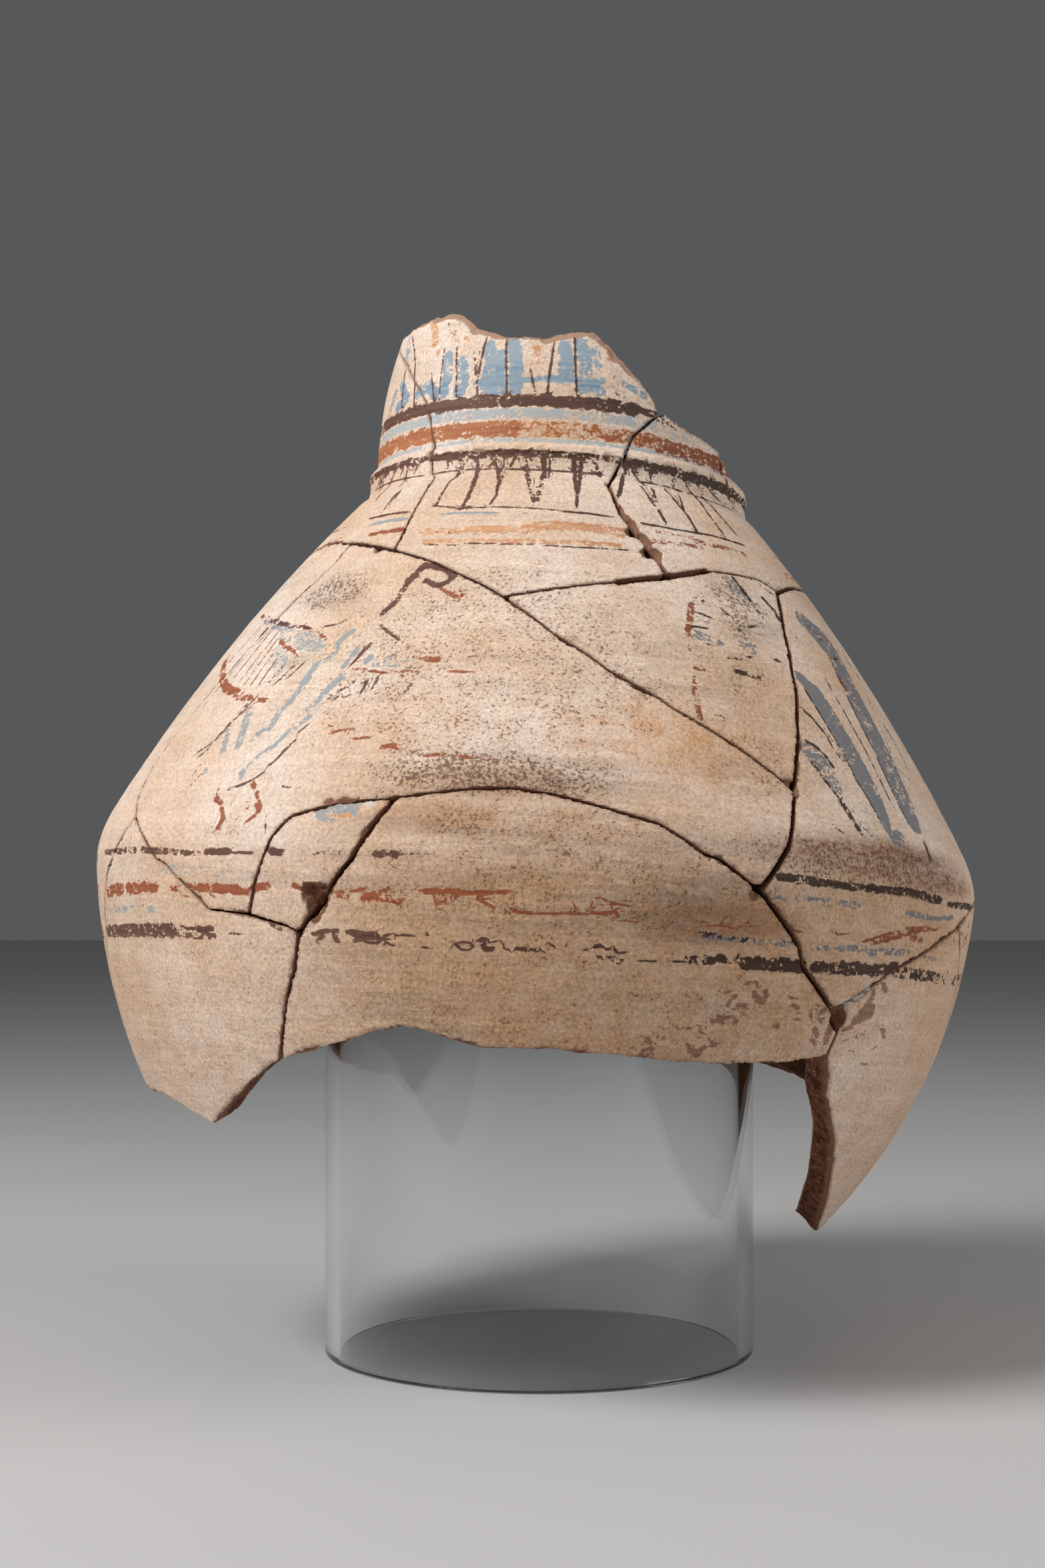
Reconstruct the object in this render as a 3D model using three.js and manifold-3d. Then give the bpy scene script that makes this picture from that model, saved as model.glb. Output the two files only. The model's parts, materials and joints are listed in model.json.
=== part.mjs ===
// Painted pottery jar: the neck, shoulder and belly of a broken jar, put together from its sherds.
// The foot is lost, so the jar hangs over an upright clear tube whose rim carries the shoulder from inside.
// Millimetres, +Z up. The origin is the middle of the tube's foot, on the table.
import * as THREE from 'three';
import { mergeVertices } from 'three/addons/utils/BufferGeometryUtils.js';
import Module from 'manifold-3d';

// Clear tube
const TUBE_RADIUS = 75;
const TUBE_WALL = 5;
const TUBE_HEIGHT = 267.8;
const TUBE_SIDES = 48;

// Outer profile of the jar, each point a radius and a height on the jar's own axis
const LOWEST = new THREE.Vector2(95.4, 40);
const BELLY = new THREE.Vector2(151.5, 160);
const BELLY_ROUNDING = new THREE.Vector2(152.3, 169);
const SHOULDER_FOOT = new THREE.Vector2(147, 179);
const SHOULDER_TOP = new THREE.Vector2(70.5, 290);
const RIDGE_FOOT = new THREE.Vector2(66.3, 294);
const RIDGE_CREST = new THREE.Vector2(67.4, 297);
const RIDGE_TOP = new THREE.Vector2(66.6, 300);
const NECK_FOOT = new THREE.Vector2(64.2, 302.5);
const NECK_TOP = new THREE.Vector2(54.5, 362);
const BODY_BULGE = 12;
const SHOULDER_BULGE = 3.9;
const NECK_BULGE = 2.7;

// Wall thickness, thinning from the body to the neck
const BODY_WALL = 10;
const SHOULDER_WALL = 9.5;
const NECK_WALL = 7.5;
const WALL_SIDES = 45;
const OUTER_STEPS = { body: 6, rounding: 3, shoulder: 4, neck: 3 };
const INNER_STEPS = { body: 4, rounding: 2, shoulder: 3, neck: 2 };

// How the jar stands on the tube: it leans to its right and back, a little off the tube's axis
const LEAN_RIGHT = THREE.MathUtils.degToRad(3.2);
const LEAN_BACK = THREE.MathUtils.degToRad(3.1);
const JAR_OFFSET = new THREE.Vector3(-10.2, -10, 0);

// Cracks: how far each one reaches past the wall's two faces, and how it wanders between its points
const CRACK_REACH = 5;
const CRACK_STEP = 24;
const CRACK_OVERRUN = 1.5;
const CRACK_WANDER = 0.7;
const WANDER_DEGREES = 0.4;
const HAIRLINE = 0.6;
const NARROW = 1;
const OPEN = 1.8;
const WIDE = 3;

// Points where cracks meet, each an angle from the front (positive to the right) and a height
const LEFT_FORK = [-33.5, 263];
const FAR_LEFT_FORK = [-49, 268.5];
const FRONT_FORK = [-8, 245];
const NECK_FORK = [22, 257];
const RIGHT_FORK = [50.5, 259.5];
const RIGHT_KNEE = [32.5, 188.5];
const BELLY_FORK = [25.5, 158];
const LEFT_BELLY_FORK = [-58.5, 173];
const SMALL_TOP = [-16.5, 178];
const SMALL_LEFT = [-34.5, 142.5];
const SMALL_RIGHT = [-27.5, 137.5];
const TAIL_FORK = [39, 124];
const TAIL_CORNER = [40.5, 110.5];
const LEFT_CORNER = [-32.5, 100];
const TAIL_SIDE = [66, 154];
const THIN_FOOT = [76, 267];
const BACK_NECK_FORK = [220, 262];
const BACK_LEFT_FORK = [238, 165];
const BACK_RIGHT_FORK = [108, 167];
const BACK_RIGHT_NECK = [100, 266];

// Broken edges, beyond which the sherds are lost; each runs once round the jar and ends where it began
const NECK_EDGE = [
  [-81, 353], [-62, 351], [-45, 352.5], [-38, 350.5], [-31, 345], [-18, 340], [-8, 339.5], [2, 343],
  [9, 343.5], [16, 335.5], [30.5, 318.5], [39, 315.5], [58, 311], [68, 304], [80, 306], [110, 311],
  [150, 318], [190, 324], [225, 333], [255, 345], [279, 353],
];
const LOWER_EDGE = [
  LEFT_CORNER, [-28.5, 102.5], [-18.5, 110], [-15, 112], [-10, 109.5], [-5, 107], [10, 107], [22, 106],
  [33, 107], TAIL_CORNER, [43, 98], [49.5, 84], [56.5, 68.5], [61.5, 61], [68, 53.5], [75, 49.5],
  [82, 52], [97, 68], [122, 95], [140, 104], [165, 110], [190, 112], [215, 106], [235, 97], [255, 90],
  [281, 86], [295.5, 85], [302, 82], [309, 77.5], [316, 85.5], [321, 92], [327.5, 100],
];

// Cracks between sherds
const CRACKS = [
  { gap: HAIRLINE, path: [[-100, 356], [-81, 348], [-61, 336.5], [-45.5, 319.5], [-40.5, 303], [-39, 294],
    [-35.5, 280], LEFT_FORK] },
  { gap: OPEN, path: [LEFT_FORK, [-41, 266], FAR_LEFT_FORK] },
  { gap: HAIRLINE, path: [FAR_LEFT_FORK, [-60, 271], [-80, 270], [-110, 264], [-140, 262]] },
  { gap: HAIRLINE, path: [FAR_LEFT_FORK, [-49, 261], [-55, 241.5], [-62, 208.5], [-64, 194], [-62.5, 182],
    LEFT_BELLY_FORK] },
  { gap: HAIRLINE, path: [LEFT_BELLY_FORK, [-67, 157.5], [-70, 148], [-72, 138], [-80, 112], [-93, 80]] },
  { gap: HAIRLINE, path: [LEFT_BELLY_FORK, [-49, 157.5], [-41, 144], SMALL_LEFT] },
  { gap: NARROW, path: [LEFT_FORK, [-17.5, 253.5], FRONT_FORK] },
  { gap: NARROW, path: [FRONT_FORK, [8.5, 222], [18, 210], [27, 198.5], RIGHT_KNEE] },
  { gap: NARROW, path: [FRONT_FORK, [2.5, 249.5], [12, 253]] },
  { gap: WIDE, path: [[12, 253], NECK_FORK, [31, 261.5]] },
  { gap: NARROW, path: [[31, 261.5], [46.5, 262.5], RIGHT_FORK] },
  { gap: OPEN, path: [RIGHT_FORK, [58.5, 263.5], THIN_FOOT] },
  { gap: HAIRLINE, path: [THIN_FOOT, BACK_RIGHT_NECK, [140, 262], [180, 257], BACK_NECK_FORK] },
  { gap: NARROW, path: [[34, 323], [30.5, 318], [19, 301.5], [13.5, 290]] },
  { gap: OPEN, path: [[13.5, 290], [15, 278.5], NECK_FORK] },
  { gap: HAIRLINE, path: [[57, 316], [58.5, 305], [62, 296], [70, 285], THIN_FOOT] },
  { gap: OPEN, path: [RIGHT_FORK, [44.5, 243], [40, 222.5], RIGHT_KNEE, [29.5, 171], BELLY_FORK] },
  { gap: NARROW, path: [SMALL_LEFT, [-33.5, 152], [-30.5, 168], [-28.5, 172.5], [-23.5, 176], SMALL_TOP] },
  { gap: NARROW, path: [SMALL_TOP, [-3, 182.5], [3, 180.5], [13.5, 174.5], [20.5, 165.5], BELLY_FORK] },
  { gap: OPEN, path: [SMALL_TOP, [-22, 156], [-23.5, 150.5], SMALL_RIGHT] },
  { gap: NARROW, path: [SMALL_LEFT, [-29, 139.5], SMALL_RIGHT] },
  { gap: OPEN, path: [SMALL_RIGHT, [-28.5, 127], [-30, 118], LEFT_CORNER, [-33, 95]] },
  { gap: OPEN, path: [BELLY_FORK, [32, 142], [33, 136], TAIL_FORK] },
  { gap: NARROW, path: [TAIL_FORK, [42.5, 128], [49, 137.5], [59, 147.5], TAIL_SIDE] },
  { gap: NARROW, path: [TAIL_SIDE, [74, 161.5], [85, 166], BACK_RIGHT_FORK] },
  { gap: NARROW, path: [TAIL_FORK, [41, 118.5], TAIL_CORNER, [40.3, 104]] },
  { gap: HAIRLINE, path: [TAIL_SIDE, [70, 143], [74, 132], [82, 100], [86, 45]] },
  { gap: HAIRLINE, path: [[225, 340], [228, 310], BACK_NECK_FORK, [228, 230], [234, 195], BACK_LEFT_FORK] },
  { gap: HAIRLINE, path: [BACK_LEFT_FORK, [242, 130], [248, 85]] },
  { gap: HAIRLINE, path: [BACK_LEFT_FORK, [210, 172], [180, 168], [140, 172], BACK_RIGHT_FORK] },
  { gap: HAIRLINE, path: [BACK_RIGHT_NECK, [108, 240], [112, 205], BACK_RIGHT_FORK] },
  { gap: HAIRLINE, path: [BACK_RIGHT_FORK, [118, 140], [124, 88]] },
];

// Chips knocked out of the outer face, each an angle, a height and a radius
const CHIPS = [
  [-25, 147.5, 4.5], [-25.3, 143.5, 3], [40.5, 121.5, 4.5], [32, 191, 2.6], [25, 156, 2.6], [19, 265, 3.5],
  [16.5, 272, 3.2], [-38, 264, 2.4],
];

// The sherds, each found by a point on it
const SHERDS = {
  neck_left_sherd: [-65, 300],
  neck_front_sherd: [-10, 310],
  neck_right_sherd: [40, 290],
  neck_back_sherd: [160, 290],
  shoulder_left_sherd: [-30, 220],
  shoulder_front_sherd: [20, 230],
  shoulder_right_sherd: [60, 210],
  shoulder_far_left_sherd: [-90, 210],
  shoulder_back_sherd: [170, 210],
  belly_small_sherd: [-29, 158],
  belly_front_sherd: [0, 140],
  belly_left_sherd: [-50, 120],
  belly_right_sherd: [58, 110],
  belly_right_back_sherd: [95, 120],
  belly_back_sherd: [180, 140],
};

// Vertices nearer than this are one
const MERGE = 1e-3;

const SLIP = '#dbb992';
const CLEAR = '#dde5ea';

// Points of a shallow arc from one profile point to another, raised by its bulge; the last point is left out
function arc(from, to, bulge, steps) {
  const chord = to.clone().sub(from);
  const outward = new THREE.Vector2(chord.y, -chord.x).normalize();
  const points = [];
  for (let i = 0; i < steps; i += 1) {
    const t = i / steps;
    points.push(from.clone().addScaledVector(chord, t).addScaledVector(outward, 4 * bulge * t * (1 - t)));
  }
  return points;
}

function belowNeck({ body, rounding, shoulder }) {
  const belly = new THREE.QuadraticBezierCurve(BELLY, BELLY_ROUNDING, SHOULDER_FOOT).getPoints(rounding);
  return [
    ...arc(LOWEST, BELLY, BODY_BULGE, body),
    ...belly.slice(0, -1),
    ...arc(SHOULDER_FOOT, SHOULDER_TOP, SHOULDER_BULGE, shoulder),
    SHOULDER_TOP,
  ];
}

function neckPoints({ neck }) {
  return [...arc(NECK_FOOT, NECK_TOP, NECK_BULGE, neck), NECK_TOP];
}

function outerProfile() {
  return [...belowNeck(OUTER_STEPS), RIDGE_FOOT, RIDGE_CREST, RIDGE_TOP, ...neckPoints(OUTER_STEPS)];
}

// The inner face runs behind the outer one at the wall's thickness, without the ridge
function innerProfile() {
  const smooth = [...belowNeck(INNER_STEPS), ...neckPoints(INNER_STEPS)];
  return smooth.map((point, i) => {
    const before = smooth[Math.max(i - 1, 0)];
    const after = smooth[Math.min(i + 1, smooth.length - 1)];
    const along = after.clone().sub(before).normalize();
    const wall = wallAt(point.y);
    return new THREE.Vector2(point.x - along.y * wall, point.y + along.x * wall);
  });
}

function wallAt(height) {
  if (height < SHOULDER_FOOT.y) {
    return BODY_WALL;
  }
  const up = (height - SHOULDER_FOOT.y) / (NECK_TOP.y - SHOULDER_FOOT.y);
  return THREE.MathUtils.lerp(SHOULDER_WALL, NECK_WALL, up);
}

const outer = outerProfile();

// A point of the outer face and the direction straight out of the wall there
function surfaceAt(angle, height) {
  const last = outer.length - 2;
  const i = Math.min(last, Math.max(0, outer.findIndex((point) => point.y > height) - 1));
  const [a, b] = [outer[i], outer[i + 1]];
  const radius = THREE.MathUtils.mapLinear(height, a.y, b.y, a.x, b.x);
  const slope = b.clone().sub(a).normalize();
  const turn = THREE.MathUtils.degToRad(angle);
  const out = new THREE.Vector3(slope.y * Math.sin(turn), -slope.y * Math.cos(turn), -slope.x);
  const place = new THREE.Vector3(radius * Math.sin(turn), -radius * Math.cos(turn), height);
  return { place, out };
}

// A repeatable value between -1 and 1 for the small wandering of a crack
function wander(seed) {
  const value = Math.sin(seed * 12.9898) * 43758.5453;
  return 2 * (value - Math.floor(value)) - 1;
}

// The crack's own line: its points, with short wandering steps between them
function crackLine(path) {
  const line = [path[0]];
  for (let i = 1; i < path.length; i += 1) {
    const [from, to] = [path[i - 1], path[i]];
    const length = surfaceAt(...from).place.distanceTo(surfaceAt(...to).place);
    const steps = Math.max(1, Math.round(length / CRACK_STEP));
    for (let k = 1; k < steps; k += 1) {
      const t = k / steps;
      const shift = CRACK_WANDER * wander(from[0] + 3 * from[1] + 7 * to[0] + k);
      const angle = THREE.MathUtils.lerp(from[0], to[0], t) + shift * WANDER_DEGREES;
      line.push([angle, THREE.MathUtils.lerp(from[1], to[1], t) + shift]);
    }
    line.push(to);
  }
  return line;
}

const wasm = await Module();
wasm.setup();

function solidOf(geometry) {
  geometry.deleteAttribute('normal');
  geometry.deleteAttribute('uv');
  const merged = mergeVertices(geometry, MERGE);
  return new wasm.Manifold(new wasm.Mesh({
    numProp: 3,
    vertProperties: Float32Array.from(merged.attributes.position.array),
    triVerts: Uint32Array.from(merged.index.array),
  }));
}

function geometryOf(solid) {
  const mesh = solid.getMesh();
  const geometry = new THREE.BufferGeometry();
  geometry.setAttribute('position', new THREE.BufferAttribute(mesh.vertProperties, 3));
  geometry.setIndex(new THREE.BufferAttribute(mesh.triVerts, 1));
  return geometry;
}

// A thin blade along a crack, square to the wall, that parts the sherds on its two sides.
// Its two broad sides are split along the same diagonals, so that they stay parallel where it twists.
function crackBlade({ path, gap, closed = false }) {
  const line = crackLine(path);
  const frames = line.map(([angle, height]) => surfaceAt(angle, height));
  const count = frames.length;
  const corners = [];
  frames.forEach(({ place, out }, i) => {
    const back = frames[closed ? (i + count - 1) % count : Math.max(i - 1, 0)].place;
    const ahead = frames[closed ? (i + 1) % count : Math.min(i + 1, count - 1)].place;
    const along = ahead.clone().sub(back).normalize();
    const side = new THREE.Vector3().crossVectors(out, along).normalize();
    const end = closed ? 0 : CRACK_OVERRUN * ((i === count - 1) - (i === 0));
    const middle = place.clone().addScaledVector(along, end);
    const inside = -(BODY_WALL + CRACK_REACH);
    for (const [depth, across] of [[CRACK_REACH, 1], [CRACK_REACH, -1], [inside, -1], [inside, 1]]) {
      corners.push(middle.clone().addScaledVector(out, depth).addScaledVector(side, across * gap / 2));
    }
  });
  const faces = [];
  const lengths = closed ? count : count - 1;
  for (let i = 0; i < lengths; i += 1) {
    const [a, b] = [4 * i, 4 * ((i + 1) % count)];
    for (let k = 0; k < 4; k += 1) {
      const [p, q, r, s] = [a + k, a + ((k + 1) % 4), b + ((k + 1) % 4), b + k];
      faces.push(...(k === 3 ? [p, q, r, p, r, s] : [p, q, s, q, r, s]));
    }
  }
  if (!closed) {
    const z = 4 * (count - 1);
    faces.push(0, 2, 1, 0, 3, 2, z, z + 1, z + 2, z, z + 2, z + 3);
  }
  const geometry = new THREE.BufferGeometry().setFromPoints(corners);
  geometry.setIndex(faces);
  return solidOf(geometry);
}

function chipCutter([angle, height, radius], i) {
  const { place } = surfaceAt(angle, height);
  const geometry = new THREE.IcosahedronGeometry(radius);
  geometry.rotateX(i);
  geometry.rotateZ(2 * i);
  geometry.translate(place.x, place.y, place.z);
  return solidOf(geometry);
}

function wholeWall() {
  const profile = [...outer, ...innerProfile().reverse(), outer[0]];
  const geometry = new THREE.LatheGeometry(profile, WALL_SIDES);
  geometry.rotateX(Math.PI / 2);
  return solidOf(geometry);
}

// The wall falls apart along its cracks and broken edges
function brokenWall() {
  const edges = [NECK_EDGE, LOWER_EDGE].map((path) => (
    { path: path.slice(0, -1), gap: HAIRLINE, closed: true }
  ));
  const cutters = [...edges, ...CRACKS].map(crackBlade);
  const chips = CHIPS.map(chipCutter);
  let wall = wholeWall();
  for (const cutter of [...cutters, ...chips]) {
    wall = wall.subtract(cutter);
  }
  return wall.decompose().flatMap((piece) => solidOf(geometryOf(piece)).decompose());
}

function findSherd(pieces, [angle, height]) {
  const { place, out } = surfaceAt(angle, height);
  const probe = new THREE.IcosahedronGeometry(1);
  const middle = place.addScaledVector(out, -NECK_WALL / 2);
  probe.translate(middle.x, middle.y, middle.z);
  const solid = solidOf(probe);
  return pieces.find((piece) => !piece.intersect(solid).isEmpty());
}

function jar() {
  const group = new THREE.Group();
  const pieces = brokenWall();
  for (const [name, place] of Object.entries(SHERDS)) {
    const material = new THREE.MeshStandardMaterial({ color: SLIP, roughness: 0.85, metalness: 0 });
    const sherd = new THREE.Mesh(geometryOf(findSherd(pieces, place)), material);
    sherd.name = name;
    group.add(sherd);
  }
  group.rotation.set(-LEAN_BACK, LEAN_RIGHT, 0, 'YXZ');
  group.position.copy(JAR_OFFSET);
  return group;
}

function clearTube() {
  const inner = TUBE_RADIUS - TUBE_WALL;
  const corners = [[inner, 0], [TUBE_RADIUS, 0], [TUBE_RADIUS, TUBE_HEIGHT], [inner, TUBE_HEIGHT]];
  const points = [...corners, corners[0]].map(([radius, height]) => new THREE.Vector2(radius, height));
  const geometry = new THREE.LatheGeometry(points, TUBE_SIDES);
  geometry.rotateX(Math.PI / 2);
  const material = new THREE.MeshStandardMaterial({
    color: CLEAR, roughness: 0.05, metalness: 0, transparent: true, opacity: 0.3,
  });
  const tube = new THREE.Mesh(geometry, material);
  tube.name = 'clear_tube';
  return tube;
}

const object = new THREE.Group();
object.add(clearTube(), jar());

export default object;
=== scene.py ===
"""A tall painted pottery jar, put together again from its sherds and held up by a clear plastic tube."""

import json
import math

import bpy
import numpy as np
from mathutils.kdtree import KDTree
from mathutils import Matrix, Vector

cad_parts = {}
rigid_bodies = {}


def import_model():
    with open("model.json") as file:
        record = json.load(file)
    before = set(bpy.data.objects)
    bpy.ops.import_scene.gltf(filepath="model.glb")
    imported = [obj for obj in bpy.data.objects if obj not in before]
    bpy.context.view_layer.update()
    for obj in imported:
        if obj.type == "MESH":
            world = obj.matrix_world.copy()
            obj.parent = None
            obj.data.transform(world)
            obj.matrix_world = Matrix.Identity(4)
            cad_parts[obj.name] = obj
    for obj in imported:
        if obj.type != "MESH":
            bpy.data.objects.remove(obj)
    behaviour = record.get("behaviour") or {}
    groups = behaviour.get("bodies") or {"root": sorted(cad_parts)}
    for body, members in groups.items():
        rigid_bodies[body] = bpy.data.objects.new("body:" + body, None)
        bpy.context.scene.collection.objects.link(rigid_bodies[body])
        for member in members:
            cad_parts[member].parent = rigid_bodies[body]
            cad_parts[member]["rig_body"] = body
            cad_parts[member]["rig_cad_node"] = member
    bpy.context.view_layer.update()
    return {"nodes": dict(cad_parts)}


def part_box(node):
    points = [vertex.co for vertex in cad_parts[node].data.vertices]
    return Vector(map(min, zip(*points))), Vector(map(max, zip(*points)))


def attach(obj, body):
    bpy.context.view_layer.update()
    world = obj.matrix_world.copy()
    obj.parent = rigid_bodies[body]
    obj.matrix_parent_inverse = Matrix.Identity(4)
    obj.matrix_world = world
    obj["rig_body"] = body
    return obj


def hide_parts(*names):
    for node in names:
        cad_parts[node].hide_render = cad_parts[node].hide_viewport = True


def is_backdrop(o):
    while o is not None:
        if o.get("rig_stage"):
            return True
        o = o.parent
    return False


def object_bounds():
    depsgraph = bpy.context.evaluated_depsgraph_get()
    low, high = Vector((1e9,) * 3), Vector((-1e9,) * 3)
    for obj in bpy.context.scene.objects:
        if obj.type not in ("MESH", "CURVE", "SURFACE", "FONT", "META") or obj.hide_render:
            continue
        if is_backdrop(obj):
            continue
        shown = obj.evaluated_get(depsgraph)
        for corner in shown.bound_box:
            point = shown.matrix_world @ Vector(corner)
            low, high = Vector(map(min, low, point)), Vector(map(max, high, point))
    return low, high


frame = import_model()

MM = 0.001

# The jar's own upright: it leans to the right and back, beside the middle of its tube. Degrees and millimetres
LEAN_RIGHT = 3.2
LEAN_BACK = 3.1
JAR_FOOT = (-10.2, -10.0, 0.0)

# Outer profile of the jar, each point a radius and a height on its upright
LOWEST = (95.4, 40)
BELLY = (151.5, 160)
BELLY_ROUNDING = (152.3, 169)
SHOULDER_FOOT = (147, 179)
SHOULDER_TOP = (70.5, 290)
NECK_ROLL = ((68.4, 291.6), (67.1, 293.2), (66.5, 294.8), (66.2, 296.6), (66.1, 298.2), (66.3, 299.6), (66.7, 300.6),
    (66.8, 301.5), (66.3, 302.4), (65.2, 303.2), (64.5, 304))
NECK_FOOT = (64.1, 305)
NECK_TOP = (54.5, 362)
BODY_BULGE = 12
SHOULDER_BULGE = 3.9
NECK_BULGE = 2.7
BODY_WALL = 10
SHOULDER_WALL = 9.5
NECK_WALL = 7.5

# The sherds, and the grain of the net that each is worked in: finest where the painting is seen from the front
SHERDS = (
    ("neck_left_sherd", 0.95),
    ("neck_front_sherd", 0.75),
    ("neck_right_sherd", 0.8),
    ("neck_back_sherd", 1.8),
    ("shoulder_left_sherd", 0.9),
    ("shoulder_front_sherd", 0.9),
    ("shoulder_right_sherd", 1.2),
    ("shoulder_far_left_sherd", 1.6),
    ("shoulder_back_sherd", 1.8),
    ("belly_small_sherd", 0.9),
    ("belly_front_sherd", 0.9),
    ("belly_left_sherd", 0.9),
    ("belly_right_sherd", 0.9),
    ("belly_right_back_sherd", 1.5),
    ("belly_back_sherd", 1.8),
)

# Pits in the face: angle from the front, height, half width, half height and depth in millimetres
PITS = (
    (56, 176, 1.1, 3.6, 2.2),
    (55.5, 230.5, 1.6, 2.4, 1.8),
    (-10.5, 171, 0.9, 0.7, 0.8),
    (6, 137, 1.2, 0.6, 0.7),
    (20, 125, 0.8, 0.8, 0.6),
    (-4, 246, 0.7, 0.6, 0.6),
    (-25.3, 149.3, 4.4, 3, 3.2),
    (-25, 146, 3, 3, 3),
    (-25.2, 143, 1.8, 2.4, 2.4),
    (100, 205, 1.4, 1.1, 1.2),
    (-120, 140, 1.2, 1.5, 1.2),
    (165, 190, 1.5, 1.1, 1.3),
)

# Where the edge of a sherd has spalled at a join: angle from the front, height, half angle, half height and extra depth
SPALLS = {
    "neck_right_sherd": ((15.4, 279.5, 3.4, 4, 2), (17, 275, 3.4, 4.5, 2.4), (18.8, 270, 3.4, 4.5, 2.4),
        (20.6, 265.5, 3.2, 4, 2)),
    "neck_front_sherd": ((3.4, 231.6, 2.4, 3, 1.4), (13.4, 216.4, 2.4, 3, 1.4), (-35, 268, 3, 7, 0.7)),
    "shoulder_left_sherd": ((3.4, 231.6, 2.4, 3, 1.2), (13.4, 216.4, 2.4, 3, 1.2), (-24.5, 178.8, 4.6, 3.4, 2),
        (-20.5, 180.6, 4.6, 3.2, 1.8)),
    "belly_small_sherd": ((-28, 175.6, 4, 3.4, 1.4), (-24.5, 178.8, 4.6, 3.4, 1.4), (-16.4, 181.8, 4, 2.8, 1),
        (-17, 168, 4, 8, 1)),
    "belly_front_sherd": ((-17, 168, 4, 8, 0.8), (27.5, 158.5, 2.6, 4, 1.8), (37, 140, 4, 12, 0.9)),
    "belly_right_sherd": ((29, 160, 2.6, 4, 1.6), (36, 145, 6, 14, 0.9), (46, 132, 8, 8, 0.8)),
    "shoulder_right_sherd": ((36, 186, 4, 9, 1), (34, 172, 4, 9, 1.4), (34, 245, 2.4, 7, 0.8)),
}

# Where a join closes up more than its solids do: angle from the front, height, half angle, half height and millimetres
TIGHT = (
    (-28, 112, 6, 34, 0.3),
)

# Brush strokes: width in millimetres, how much of the paint is left, and points as angle from the front and height
NECK_PETAL_LINES = (
    (0.9, 0.9, ((-63.4, 347.6), (-58.3, 341.6), (-55.4, 335.9))),
    (0.9, 0.9, ((-55.1, 334.9), (-53.2, 327.4), (-51.9, 319.7))),
    (0.9, 0.8, ((-61.5, 334), (-60.4, 327.9), (-59.4, 319.9))),
    (0.7, 0.7, ((-41.4, 338.1), (-41.1, 331), (-40.5, 320.5))),
    (0.9, 0.9, ((-45.4, 330.1), (-44, 325.7), (-42.4, 319.9))),
    (0.9, 0.9, ((-36.2, 337.7), (-34.7, 328.9), (-33.7, 320.1))),
    (0.9, 0.95, ((-25.6, 340), (-26.1, 336.1), (-26.5, 329.2), (-26.6, 326.5))),
    (0.9, 0.6, ((-29.4, 335.7), (-28.4, 331.7))),
    (0.9, 0.9, ((-28.2, 330.1), (-27, 325.3), (-26, 318.9))),
    (0.9, 0.9, ((-18.7, 338.6), (-18.1, 332.1), (-17.3, 325.2), (-16.5, 316.2))),
    (0.9, 0.8, ((-10.1, 328.1), (-8.9, 322.9))),
    (0.9, 0.9, ((-3.7, 337.4), (-4, 332.1), (-4.4, 327.5), (-4.6, 320.8))),
    (0.9, 0.95, ((2.7, 340.4), (3, 333.7), (3.5, 326.9), (4, 321.3))),
    (0.8, 0.5, ((-37.3, 346.6), (-38.4, 343.6))),
    (0.8, 0.5, ((-42.4, 348), (-40.7, 344.7))),
    (0.9, 0.6, ((15, 327.5), (15, 324.8))),
    (0.9, 0.6, ((15.5, 322.6), (17.3, 321.5))),
)
NECK_PETALS = (
    (4.2, 0.95, ((-61.4, 329.3), (-57.1, 323.6), (-62.2, 322))),
    (3.4, 0.7, ((-66.4, 328.1), (-69.2, 321.8))),
    (2.6, 0.7, ((-66.1, 347.3), (-62.1, 340.1))),
    (2.2, 0.6, ((-56.7, 337.6), (-52.1, 334.7))),
    (4.5, 0.85, ((-50.5, 324.5), (-45.8, 326), (-42.4, 322.7))),
    (4.2, 0.9, ((-39.6, 335.5), (-38.1, 329.4), (-38.8, 322.6))),
    (4.6, 0.85, ((-33.1, 332.2), (-31.7, 325.1), (-33.1, 321.8))),
    (4.5, 0.95, ((-24.2, 337.1), (-22.9, 331.2), (-23.9, 323.3), (-20.5, 321.3))),
    (4.6, 0.95, ((-20, 333.4), (-19.8, 326.5), (-19, 321.9))),
    (4.8, 0.95, ((-16, 336.7), (-14.9, 330.9), (-14.2, 321.8))),
    (2.4, 0.98, ((-27.3, 324), (-20.7, 324.4), (-11.3, 324.9))),
    (2.2, 0.7, ((-11.3, 324.9), (-4.3, 325.7))),
    (4.8, 0.9, ((-0.2, 336.9), (0.8, 332.4), (0.3, 326.6))),
    (4.6, 0.85, ((4.6, 338.4), (6.1, 332.8), (6.7, 327.2))),
    (2.6, 0.98, ((-4.6, 325.2), (2.7, 325.7), (11.5, 325.9))),
    (3.8, 0.98, ((5.3, 322.5), (7.9, 323.2), (11, 322.4))),
    (2.8, 0.6, ((9.1, 336.6), (10.1, 331))),
    (2.2, 0.7, ((18.2, 325.9), (21.5, 324.6), (24.9, 323))),
    (1.6, 0.6, ((13, 323.4), (16.1, 324.5))),
)
NECK_TIPS = (
    (3.2, 0.8, ((-50.2, 349.1), (-48.3, 345.4), (-46.6, 341.4))),
    (1.8, 0.8, ((-44.1, 337.8), (-44.2, 336.9))),
    (2.6, 0.7, ((-8.8, 336.1), (-8.3, 332))),
    (2.2, 0.8, ((13.5, 336.4), (14, 333.3))),
    (2.4, 0.35, ((-39.3, 343.7), (-36.2, 340.8))),
    (2.4, 0.35, ((-33.1, 340.9), (-31.6, 337.8))),
    (2, 0.3, ((-54.2, 341.8), (-50.1, 338.5))),
)
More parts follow.
